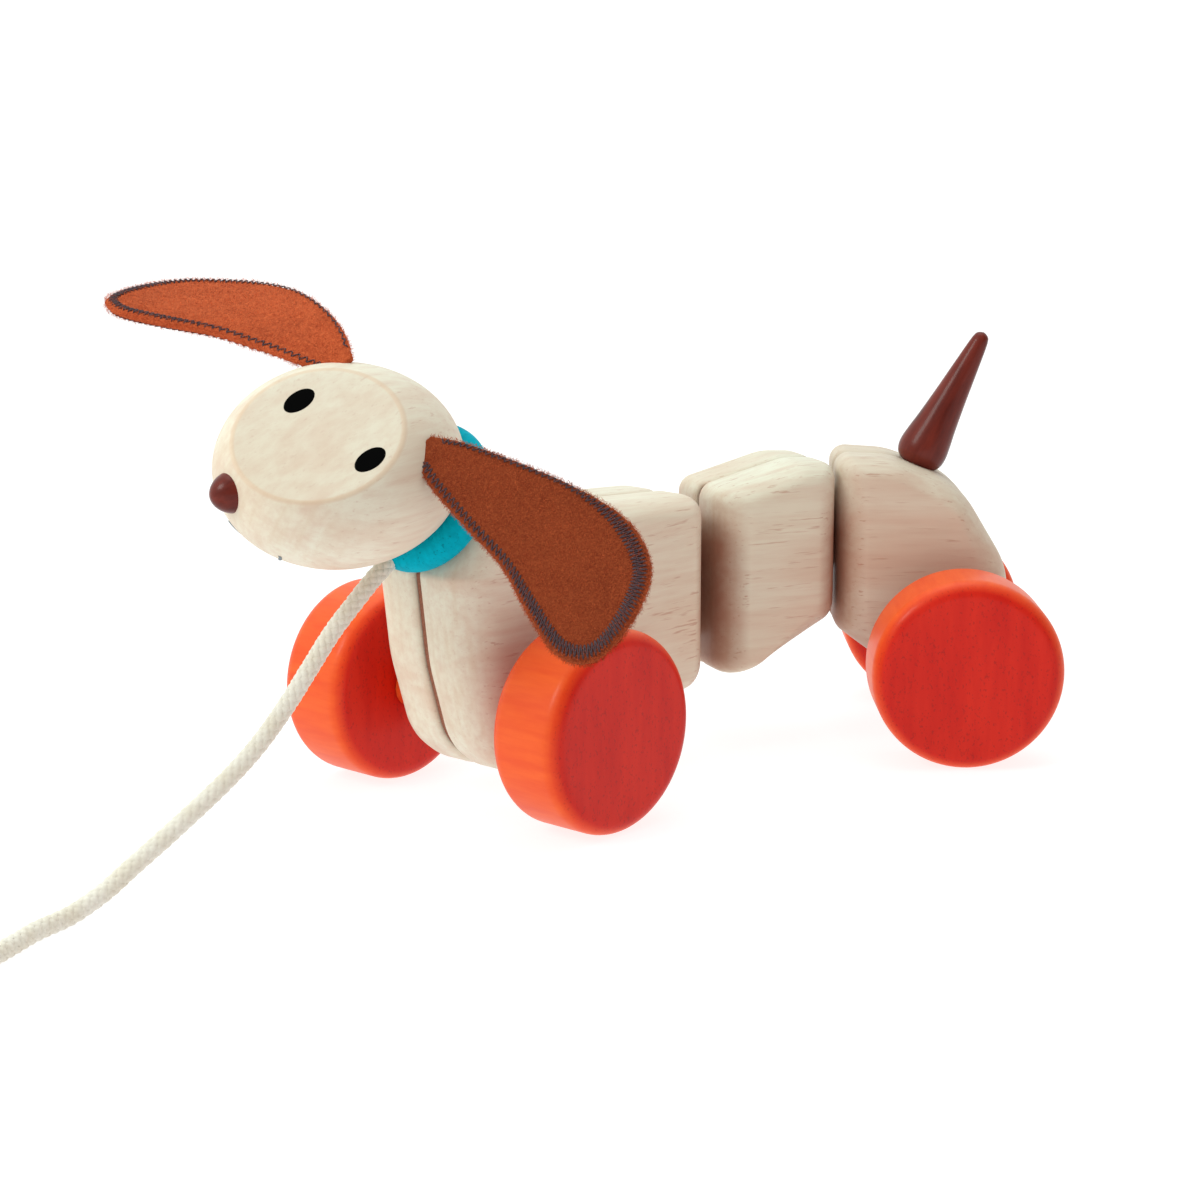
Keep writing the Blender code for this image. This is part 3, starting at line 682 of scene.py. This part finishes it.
def strap_bridge(name, route, bodies, ends, low, high):
    """The strap's bare stretch, bent about the hinge between two blocks."""
    line = smooth_curve(route, 1.5)

    def build(shape):
        sides = []
        for index, point in enumerate(line):
            along = (line[min(index + 1, len(line) - 1)] - line[max(index - 1, 0)]).normalized()
            sides.append((point, along.cross(UP).normalized() * STRAP_HALF))
        rings = []
        for height in (low, low + 0.4, (low + high) / 2, high - 0.4, high):
            thin = 0.5 if height in (low, high) else 1.0
            lift = UP * height
            ring = [point + side * thin + lift for point, side in sides]
            ring += [point - side * thin + lift for point, side in reversed(sides)]
            rings.append(ring)
        loft(shape, rings)

    mesh = mesh_from(name, build)
    bridge = put(name, mesh, Matrix.Identity(4), LOOKS["strap"], None)
    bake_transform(bridge)


def on_block(place, forward):
    """A point on a block's mid-line at floor level, in millimetres."""
    return place @ Vector((forward * MM, 0.0, 0.0)) / MM


def make_straps():
    for label, corners, place in BLOCKS:
        name = label + "_web"
        mesh = mesh_from(name, strap_web(corners, WEB_INSET))
        web = put(name, mesh, place, LOOKS["strap"], label + "_body")
        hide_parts(label + "_strap")
    front = (FRONT, FRONT_HINGE + FRONT_GAP, MIDDLE, -FRONT_GAP, front_turn)
    rear = (MIDDLE, REAR_GAP - HINGE_SPACING, REAR, REAR_HINGE - REAR_GAP, rear_turn)
    joins = (
        ("front_bridge", ("front_body", "middle_body"), front, (29.0, 61.0)),
        ("rear_bridge", ("middle_body", "rear_body"), rear, (45.0, 67.0)),
    )
    for name, bodies, (first, face, second, other, hinge), heights in joins:
        ends = [on_block(first, face), on_block(second, other)]
        middle = Vector((hinge.x, hinge.y, 0.0)) / MM
        route = [on_block(first, face + 7), ends[0], middle, ends[1], on_block(second, other - 7)]
        strap_bridge(name, route, bodies, ends, *heights)


def make_blocks():
    for label, corners, place in BLOCKS:
        for side, hand in (("left", 1), ("right", -1)):
            name = "%s_wood_%s" % (label, side)
            mesh = mesh_from(name, wooden_half(corners, hand))
            half = put(name, mesh, place, LOOKS[label], label + "_body", 50.0)
            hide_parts("%s_half_%s" % (label, side))


# Wheels

def wheel_profile():
    half = WHEEL_WIDTH / 2
    rim = WHEEL_RADIUS - WHEEL_EDGE
    profile = [(0.0, half), (rim * 0.5, half), (rim - 1.0, half)]
    profile += arc((rim, half - WHEEL_EDGE), WHEEL_EDGE, 88.0, 0.0, 9)
    profile += arc((rim, WHEEL_EDGE - half), WHEEL_EDGE, 0.0, -90.0, 9)
    profile += [(AXLE_RADIUS + 0.8, -half), (AXLE_RADIUS + 0.15, 0.6 - half), (AXLE_RADIUS + 0.15, 4.0)]
    return [*profile, (0.0, 4.0)]


def make_wheels():
    for label, place in (("front", FRONT), ("rear", REAR)):
        for side, hand in (("left", 1), ("right", -1)):
            name = "%s_%s_wheel" % (label, side)
            spot = Vector((0.0, hand * WHEEL_OFFSET, WHEEL_RADIUS)) * MM
            turn = Matrix.Rotation(math.radians(-90.0 * hand), 4, "X")
            mesh = mesh_from(name, lathe(wheel_profile(), 120))
            wheel_place = place @ Matrix.Translation(spot) @ turn
            wheel = put(name, mesh, wheel_place, LOOKS["red"], label + "_wheels")
            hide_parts("wheel_%s_%s" % (label, side))


# Collar, nose and tail

def make_collar():
    half = COLLAR_WIDTH / 2
    rim = COLLAR_RADIUS - 4.2
    hole = PEG_RADIUS + 0.1
    profile = [(hole, half), *arc((rim, half - 4.2), 4.2, 90.0, 0.0, 12)]
    profile += [*arc((rim, 4.2 - half), 4.2, 0.0, -90.0, 12), (hole, -half), (hole, half)]
    mesh = mesh_from("neck_collar", lathe(profile, 120))
    collar = put("neck_collar", mesh, NECK, LOOKS["teal"], "front_body")
    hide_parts("collar")


def make_nose():
    """A turned bead with a rounded point, set into the end of the snout."""
    profile = [(0.0, 4.5), (1.0, 4.3), (2.1, 3.75), (3.1, 2.9), (3.95, 1.8), (4.55, 0.5), (4.85, -0.9)]
    profile += [(4.7, -1.9), (4.0, -2.6), (2.0, -3.0), (0.0, -3.0)]
    smooth = turned_curve(profile, 0.35)
    turn = Vector(NOSE_WAY).to_track_quat("Z", "Y").to_matrix().to_4x4()
    place = HEAD @ Matrix.Translation(Vector(NOSE_CENTRE) * MM) @ turn
    mesh = mesh_from("nose_bead", lathe(smooth, 72))
    nose = put("nose_bead", mesh, place, LOOKS["dark"], "head_body")
    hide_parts("nose")


def turned_curve(profile, spacing):
    """A smooth (radius, height) profile that starts and ends on its axis."""
    smooth = [(max(p.x, 0.0), p.z) for p in smooth_curve([(r, 0.0, z) for r, z in profile], spacing)]
    return [(0.0, smooth[0][1]), *smooth[1:-1], (0.0, smooth[-1][1])]


def make_tail():
    profile = [(0.0, TAIL_LENGTH), (1.3, TAIL_LENGTH - 0.5), (2.2, TAIL_LENGTH - 2.2), (3.2, 31.0)]
    profile += [(4.3, 22.0), (5.4, 14.0), (6.3, 8.6), (6.65, 5.4), (6.3, 3.0), (5.0, 1.2)]
    profile += [(2.4, 0.2), (0.0, 0.0)]
    smooth = turned_curve(profile, 0.7)
    spot = Vector((TAIL_BASE[0], 0.0, TAIL_BASE[1])) * MM
    place = REAR @ Matrix.Translation(spot) @ Matrix.Rotation(-TAIL_LEAN, 4, "Y")
    mesh = mesh_from("tail_wood", lathe(smooth, 72))
    tail = put("tail_wood", mesh, place, LOOKS["dark"], "rear_body")
    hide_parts("tail")


# Head: an egg with a flat face and a flat seat on the collar, both with soft edges

def head_point(ray):
    """Where a ray from the head's centre meets its surface."""
    reach = 1.0 / Vector([part / semi for part, semi in zip(ray, HEAD_SEMI_AXES)]).length
    turn = Euler([math.radians(angle) for angle in HEAD_TILT]).to_matrix()
    axis = Vector((math.cos(NECK_PITCH), 0.0, math.sin(NECK_PITCH)))
    seat = turn.transposed() @ -axis
    base = Vector((COLLAR_CENTRE[0], 0.0, COLLAR_CENTRE[1])) + axis * (COLLAR_WIDTH / 2 + GAP)
    seat_distance = (Vector(HEAD_CENTRE) - base).dot(axis)
    for normal, distance, softness in ((FACE_NORMAL, FACE_DISTANCE, 0.2), (seat, seat_distance, 0.6)):
        slope = ray.dot(normal)
        if slope > 0.01:
            limit = distance / slope
            share = max(0.0, min(1.0, 0.5 + 0.5 * (limit - reach) / softness))
            reach = limit * (1 - share) + reach * share - softness * share * (1 - share)
    return ray * reach


def make_head():
    rings, segments = 150, 220

    def build(shape):
        rows = []
        for ring in range(1, rings):
            tip = math.pi * ring / rings
            row = []
            for step in range(segments):
                turn = 2 * math.pi * step / segments
                wide = math.sin(tip)
                flat = Vector((math.cos(tip), wide * math.cos(turn), wide * math.sin(turn)))
                ray = Vector([part * semi for part, semi in zip(flat, HEAD_SEMI_AXES)]).normalized()
                row.append(head_point(ray))
            rows.append(row)
        loft(shape, rows)

    mesh = mesh_from("head_wood", build)
    head = put("head_wood", mesh, HEAD, LOOKS["head"], "head_body", 60.0)
    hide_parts("head")


def face_point(across, up):
    return FACE_NORMAL * FACE_DISTANCE + Vector((0.0, across, 0.0)) + FACE_UP * up


def make_face():
    """The printed eyes and mouth, which stand a paint film proud of the wood."""
    across = Vector((math.cos(FACE_ROLL), math.sin(FACE_ROLL)))
    tall = Vector((-across.y, across.x))
    for side, hand in (("left", 1), ("right", -1)):
        middle = Vector(EYE_MIDDLE) + across * hand * EYE_SPREAD
        rings = []
        for share, lift in ((1.0, -0.15), (1.0, 0.05), (0.97, 0.09), (0.6, 0.1), (0.2, 0.1)):
            ring = []
            for step in range(64):
                angle = 2 * math.pi * step / 64
                flat = across * math.cos(angle) * EYE_SEMI_AXES[0]
                flat += tall * math.sin(angle) * EYE_SEMI_AXES[1]
                ring.append(face_point(*(middle + flat * share)) + FACE_NORMAL * lift)
            rings.append(ring)
        name = "eye_" + side
        mesh = mesh_from(name, lambda shape: loft(shape, rings))
        put(name, mesh, HEAD, LOOKS["black"], "head_body", 60.0)
    for side, reach in (("left", 14.1), ("right", -14.1)):
        line = []
        for step in range(41):
            share = step / 40
            place = (-2.8 + reach * share, -11.9 + 0.7 * share - 7.0 * math.sin(math.pi * share) ** 0.7)
            flat = 1 - (place[0] / HEAD_SEMI_AXES[1]) ** 2 - (place[1] / HEAD_SEMI_AXES[2]) ** 2
            line.append(Vector((HEAD_SEMI_AXES[0] * math.sqrt(flat), *place)) * 0.993)
        name = "mouth_" + side
        mesh = mesh_from(name, lambda shape: tube(shape, line, 0.45, 12))
        put(name, mesh, HEAD, LOOKS["grey"], "head_body", 60.0)


# Felt ears

EAR_OUTLINE = [
    (-4.0, -4.2), (2.5, -8.4), (14.0, -13.6), (28.0, -18.8), (41.0, -21.8), (50.0, -20.7),
    (57.0, -16.6), (61.5, -8.5), (63.6, 1.0), (62.5, 8.0), (56.0, 11.4), (45.0, 9.6),
    (32.0, 5.9), (19.0, 5.2), (6.0, 4.2), (-4.0, 2.2),
]
# Each ear's hand, its root's turn in degrees, and its bend, twist and curl along it in radians per mm
EAR_POSES = {
    "left": (1, (0.0, 0.0, 0.0), (0.0, 0.0, 0.0, 0.0), (0.0, 0.0, 0.0), (0.0, 0.0)),
    "right": (
        -1, (5.6, 0.15, 1.3), (0.0184, -0.0014, 0.0005, -0.0095), (0.0145, 0.0123, -0.0008), (0.0115, 0.0026),
    ),
}


class EarSurface:
    """The ear's middle surface: its flat (along, across) points bent, twisted and curled along it."""

    STEP = 0.5

    def __init__(self, hand, turn, bends, twists, curls):
        turn = Euler([math.radians(angle) for angle in turn]).to_matrix()
        along = turn @ Vector((0.0, hand, 0.0))
        width = turn @ Vector((0.75, 0.0, -0.66)).normalized()
        place = Vector((EAR_ROOT[0], hand * EAR_ROOT[1], EAR_ROOT[2])) + along * EAR_START
        self.rows = []
        for index in range(EAR_ROWS):
            distance = EAR_START + index * self.STEP
            self.rows.append((place, width, along.cross(width)))
            bend = np.interp(distance, (0.0, 20.0, 42.0, 64.0), bends)
            twist = np.interp(distance, (0.0, 32.0, 64.0), twists)
            place = place + along * self.STEP
            swing = Matrix.Rotation(bend * self.STEP, 3, width)
            swing = swing @ Matrix.Rotation(twist * self.STEP, 3, along)
            curl = np.interp(distance, (0.0, 32.0), curls)
            swing = Matrix.Rotation(curl * self.STEP, 3, along.cross(width)) @ swing
            along = (swing @ along).normalized()
            width = (swing @ width).normalized()

    def point(self, along, across, height=0.0):
        spot = (along - EAR_START) / self.STEP
        index = max(0, min(len(self.rows) - 2, int(spot)))
        share = spot - index
        parts = [a.lerp(b, share) for a, b in zip(self.rows[index], self.rows[index + 1])]
        return parts[0] + parts[1] * across + parts[2] * height


def ear_edge(spacing):
    """The smooth edge, from one side of the root round the tip to the other."""
    flat = smooth_curve([(a, b, 0.0) for a, b in EAR_OUTLINE], spacing)
    return [Vector((point.x, point.y)) for point in flat]


def ear_spine(point):
    """The nearest point of the line that the ear's rings shrink to."""
    along = max(2.0, min(46.0, point.x * 0.86))
    return Vector((along, -0.9 - along * 0.085))


def put_soft(name, mesh, material, body):
    """Places an ear's piece with its turn in its mesh, so that its box stays close round it."""
    mesh.transform(HEAD)
    return put(name, mesh, Matrix.Identity(4), material, body, 80.0)


def make_ear(side):
    hand = EAR_POSES[side][0]
    surface = EarSurface(*EAR_POSES[side])
    edge = ear_edge(0.8)
    noise = random.Random(7 + hand)
    ragged = [noise.uniform(-0.12, 0.12) for _ in edge]
    half = EAR_THICKNESS / 2

    def build(shape):
        shares = [0.0, 0.02, 0.05, 0.10, 0.16, 0.24, 0.34, 0.46, 0.60, 0.74, 0.88, 0.99]
        heights = [0.0, 0.55, 0.80, 0.92, 0.88, 0.95, 1.0, 1.0, 1.0, 1.0, 1.0, 1.0]
        sheets = []
        for sign in (1, -1):
            rows = []
            for share, height in zip(shares, heights):
                row = []
                for point, rough in zip(edge, ragged):
                    outward = (point - ear_spine(point)).normalized()
                    flat = (point + outward * rough * (1 - share)).lerp(ear_spine(point), share)
                    row.append(surface.point(flat.x, flat.y, sign * hand * half * height))
                rows.append(row)
            sheets.append(rows)
        rings = [*reversed(sheets[0]), *sheets[1][1:]]
        loft(shape, rings)

    name = "felt_ear_" + side
    ear = put_soft(name, mesh_from(name, build), LOOKS["felt_" + side], side + "_ear_body")
    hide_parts("ear_" + side)
    trims = [make_stitches(side, surface, hand), make_fuzz(side, surface, hand)]
    cut = ear_edge(1.0)


def inside(point, edge):
    """Whether a flat point lies within a closed edge."""
    crossings = 0
    for first, second in zip(edge, edge[1:] + edge[:1]):
        if (first.y > point.y) != (second.y > point.y):
            share = (point.y - first.y) / (second.y - first.y)
            crossings += point.x < first.x + (second.x - first.x) * share
    return crossings % 2 == 1


def make_fuzz(side, surface, hand):
    """The felt's nap: short loose fibres on both faces and round the edge."""
    chance = random.Random(31 + hand)
    coarse = ear_edge(3.0)
    edge = ear_edge(0.2)
    roots = []
    while len(roots) < FIBRES:
        flat = Vector((chance.uniform(-1.0, 64.0), chance.uniform(-22.5, 12.0)))
        if inside(flat, coarse):
            roots.append((flat, chance.choice((-1, 1)) * EAR_THICKNESS * 0.49))
    for _ in range(FIBRES // 4):
        roots.append((chance.choice(edge), chance.uniform(-0.4, 0.4) * EAR_THICKNESS))

    def build(shape):
        for flat, height in roots:
            root = surface.point(flat.x, flat.y, hand * height)
            along = (surface.point(flat.x + 0.5, flat.y, hand * height) - root).normalized()
            across = (surface.point(flat.x, flat.y + 0.5, hand * height) - root).normalized()
            off = along.cross(across) * (hand * math.copysign(1.0, height))
            turn = chance.uniform(0.0, 2 * math.pi)
            lie = along * math.cos(turn) + across * math.sin(turn)
            way = (lie + off * chance.uniform(0.1, 0.9)).normalized()
            length = chance.uniform(0.4, 1.1)
            thin = way.cross(off).normalized() * FIBRE_HALF_WIDTH
            middle = root + way * length * 0.55 + off * 0.08
            tip = root + way * length
            places = (root - thin, root + thin, middle + thin, middle - thin, tip)
            corners = [shape.verts.new(place) for place in places]
            shape.faces.new(corners[:4])
            shape.faces.new((corners[3], corners[2], corners[4]))

    name = "ear_fuzz_" + side
    mesh = mesh_from(name, build, normals=False)
    return put_soft(name, mesh, LOOKS["nap_" + side], side + "_ear_body")


def make_stitches(side, surface, hand):
    """A zigzag of thread along the edge, on both faces of the felt."""
    edge = ear_edge(0.25)
    lengths = [0.0]
    for first, second in zip(edge, edge[1:]):
        lengths.append(lengths[-1] + (second - first).length)
    total = lengths[-1]
    reach = 1.0 if side == "left" else 0.72

    def at(distance):
        index = int(np.searchsorted(lengths, distance)) - 1
        index = max(0, min(len(edge) - 2, index))
        along = (edge[index + 1] - edge[index]).normalized()
        return edge[index] + along * (distance - lengths[index]), Vector((along.y, -along.x))

    def build(shape):
        for sign in (1, -1):
            path = []
            distance, out = 3.0, True
            while distance < total - 3.0:
                point, across = at(distance)
                near_tip = smooth_step((point.x - 26.0) / 22.0)
                at_back = smooth_step((-point.y - 2.0) / 4.0) * (1.0 - near_tip)
                inner_depth = (2.7 + 1.6 * near_tip - 1.0 * at_back) * reach
                depth = 0.45 + 0.35 * near_tip if out else inner_depth
                spine = (ear_spine(point) - point).normalized()
                path.append((point + spine * depth, out))
                distance += (0.80 - 0.28 * near_tip) / reach
                out = not out
            line = []
            for (first, at_edge), (second, _) in zip(path, path[1:]):
                for share in (0.0, 0.12, 0.5, 0.88):
                    inward = share if at_edge else 1.0 - share
                    height = EAR_THICKNESS / 2 * min(1.0, 0.85 + inward) + 0.12
                    if share == 0.0:
                        height = EAR_THICKNESS / 2 - (0.45 if at_edge else 0.2)
                    flat = first.lerp(second, share)
                    line.append(surface.point(flat.x, flat.y, sign * hand * height))
            tube(shape, line, THREAD_RADIUS, 5)

    name = "ear_stitches_" + side
    return put_soft(name, mesh_from(name, build), LOOKS["thread"], side + "_ear_body")


# Pull cord: a braid laid along one line

def cord_line():
    """The cord's centreline in the front block's frame, from inside the collar to past the bead."""
    points = smooth_curve(CORD_ROUTE, 2.0)
    centre = Vector((*COIL_CENTRE, 0.0))
    join = Vector((*COIL_START, 0.0)) - centre
    start = math.atan2(join.y, join.x)
    for step in range(1, COIL_STEPS + 1):
        share = COIL_TURNS * step / COIL_STEPS
        inward = smooth_step((share - 0.80) / 0.20)
        rise = smooth_step((share - 1.58) / 0.22)
        radius = COIL_RADIUS + CORD_RADIUS * (1 - 2 * inward) * (1 - rise)
        angle = start - 2 * math.pi * share
        height = LOW_TURN + TURN_RISE * rise
        points.append(centre + Vector((radius * math.cos(angle), radius * math.sin(angle), height)))
    end = start - 2 * math.pi * COIL_TURNS
    top = LOW_TURN + TURN_RISE
    outward = Vector((math.cos(end), math.sin(end), 0.0))
    onward = Vector((math.sin(end), -math.cos(end), 0.0))
    bend_centre = centre + outward * (COIL_RADIUS - BEAD_OFFSET)
    for step in range(1, 12):
        angle = math.pi / 2 * step / 11
        height = top + (BEAD_RADIUS - top) * smooth_step(step / 14)
        point = bend_centre + (outward * math.cos(angle) + onward * math.sin(angle)) * BEAD_OFFSET
        points.append(point + UP * height)
    for reach in (2.5, 5.0, 8.0, 14.0, 20.0, 26.0):
        height = top + (BEAD_RADIUS - top) * smooth_step((11 + reach / 1.3) / 14)
        points.append(bend_centre + onward * BEAD_OFFSET - outward * reach + UP * height)
    return points


def even_line(points, spacing):
    """The same line with its points at even spacing."""
    lengths = [0.0]
    for first, second in zip(points, points[1:]):
        lengths.append(lengths[-1] + (second - first).length)
    count = max(2, round(lengths[-1] / spacing))
    wanted = np.linspace(0.0, lengths[-1], count + 1)
    flat = np.array([list(point) for point in points])
    columns = [np.interp(wanted, lengths, flat[:, axis]) for axis in range(3)]
    return [Vector(point) for point in zip(*columns)], lengths[-1]


def braid(shape, line, carriers=6, sides=6):
    """Two crossing sets of flat strands that pass over and under each other."""
    frames = []
    normal = Vector((0.0, 0.0, 1.0))
    for index, point in enumerate(line):
        along = (line[min(index + 1, len(line) - 1)] - line[max(index - 1, 0)]).normalized()
        normal = (normal - along * normal.dot(along)).normalized()
        frames.append((point, along, normal, along.cross(normal)))
    spacing = (line[1] - line[0]).length
    lean = math.atan2(2 * math.pi * CORD_RADIUS * 0.8, BRAID_PITCH)
    for direction in (1, -1):
        for carrier in range(carriers):
            rings = []
            for index, (point, along, up, side) in enumerate(frames):
                travelled = index * spacing
                angle = 2 * math.pi * (carrier / carriers + direction * travelled / BRAID_PITCH)
                wave = math.cos(2 * math.pi * carriers * travelled / BRAID_PITCH)
                lift = CORD_RADIUS * STRAND_LIFT + STRAND_WAVE * wave * direction
                outward_way = up * math.cos(angle) + side * math.sin(angle)
                round_way = side * math.cos(angle) - up * math.sin(angle)
                across = round_way * math.cos(lean) - along * direction * math.sin(lean)
                ring = []
                for step in range(sides):
                    turn = 2 * math.pi * step / sides
                    offset = outward_way * (lift + STRAND_SEMI_AXES[1] * math.sin(turn))
                    offset += across * (STRAND_SEMI_AXES[0] * math.cos(turn))
                    ring.append(point + offset)
                rings.append(ring)
            loft(shape, rings)


def make_cord():
    line, length = even_line(cord_line(), 0.6)
    mesh = mesh_from("braided_cord", lambda shape: braid(shape, line))
    cord = put("braided_cord", mesh, FRONT, LOOKS["cotton"], "front_body", 80.0)
    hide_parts("pull_cord", "cord_coil")


# Nodes that keep their CAD shape get a finished material

def finish_nodes():
    looks = {"front_axle": "dowel", "rear_axle": "dowel", "neck_peg": "dowel", "pull_bead": "bead"}
    looks.update((name, "red") for name in frame["nodes"] if name.startswith("spacer"))
    for name, look in looks.items():
        mesh = frame["nodes"][name].data
        mesh.materials.clear()
        mesh.materials.append(LOOKS[look])


# Floor and lights

def make_floor():
    def build(shape):
        bmesh.ops.create_grid(shape, x_segments=2, y_segments=2, size=FLOOR_REACH)

    floor_mesh = mesh_from("floor", build)
    floor = bpy.data.objects.new("floor", floor_mesh)
    bpy.context.scene.collection.objects.link(floor)
    paper = Recipe("floor_paper", roughness=0.9, specular=0.1)
    tone = paper.noise(paper.place, 4.0, 1.0)
    paper.colour(paper.mix(tone, (0.29, 0.29, 0.29), (0.31, 0.31, 0.31)))
    paper.shader.inputs["Emission Color"].default_value = (1.0, 1.0, 1.0, 1.0)
    paper.shader.inputs["Emission Strength"].default_value = FLOOR_GLOW
    floor_mesh.materials.append(paper.material)


def make_sky():
    """An even pale sky that dims towards one side."""
    world = bpy.data.worlds.new("studio")
    world.use_nodes = True
    tree = world.node_tree
    sky = tree.nodes["Background"]
    sky.inputs["Strength"].default_value = SKY_STRENGTH
    way = tree.nodes.new("ShaderNodeTexCoord").outputs["Generated"]
    dim_side = tree.nodes.new("ShaderNodeVectorMath")
    dim_side.operation = "DOT_PRODUCT"
    dim_side.inputs[1].default_value = (0.62, -0.78, -0.1)
    tree.links.new(way, dim_side.inputs[0])
    fade = tree.nodes.new("ShaderNodeMapRange")
    for socket, value in (("From Min", -0.35), ("From Max", 0.9)):
        fade.inputs[socket].default_value = value
    tree.links.new(dim_side.outputs["Value"], fade.inputs["Value"])
    tint = tree.nodes.new("ShaderNodeMix")
    tint.data_type = "RGBA"
    tint.inputs[6].default_value = (0.93, 1.0, 0.98, 1.0)
    tint.inputs[7].default_value = (0.33, 0.25, 0.22, 1.0)
    tree.links.new(fade.outputs["Result"], tint.inputs[0])
    tree.links.new(tint.outputs[2], sky.inputs["Color"])
    bpy.context.scene.world = world


def make_lamps():
    lamps = (
        ("key", (-0.80, -0.50, 0.80), 0.45, 4.2, (0.94, 1.0, 0.95)),
        ("top", (0.0, 0.15, 1.3), 1.1, 4.7, (0.92, 1.0, 0.98)),
    )
    for name, place, size, power, tint in lamps:
        lamp = bpy.data.lights.new(name, "AREA")
        lamp.shape = "DISK"
        lamp.size = size
        lamp.energy = power
        lamp.color = tint
        obj = bpy.data.objects.new(name, lamp)
        bpy.context.scene.collection.objects.link(obj)
        obj.location = place
        aim = Vector((0.0, 0.0, 0.05)) - Vector(place)
        obj.rotation_euler = aim.to_track_quat("-Z", "Y").to_euler()


bpy.context.scene.view_settings.view_transform = "Standard"
make_blocks()
make_straps()
make_wheels()
make_collar()
make_nose()
make_tail()
make_head()
make_face()
for ear_side in ("left", "right"):
    make_ear(ear_side)
make_cord()
finish_nodes()
make_floor()
make_sky()
make_lamps()
bpy.context.view_layer.update()
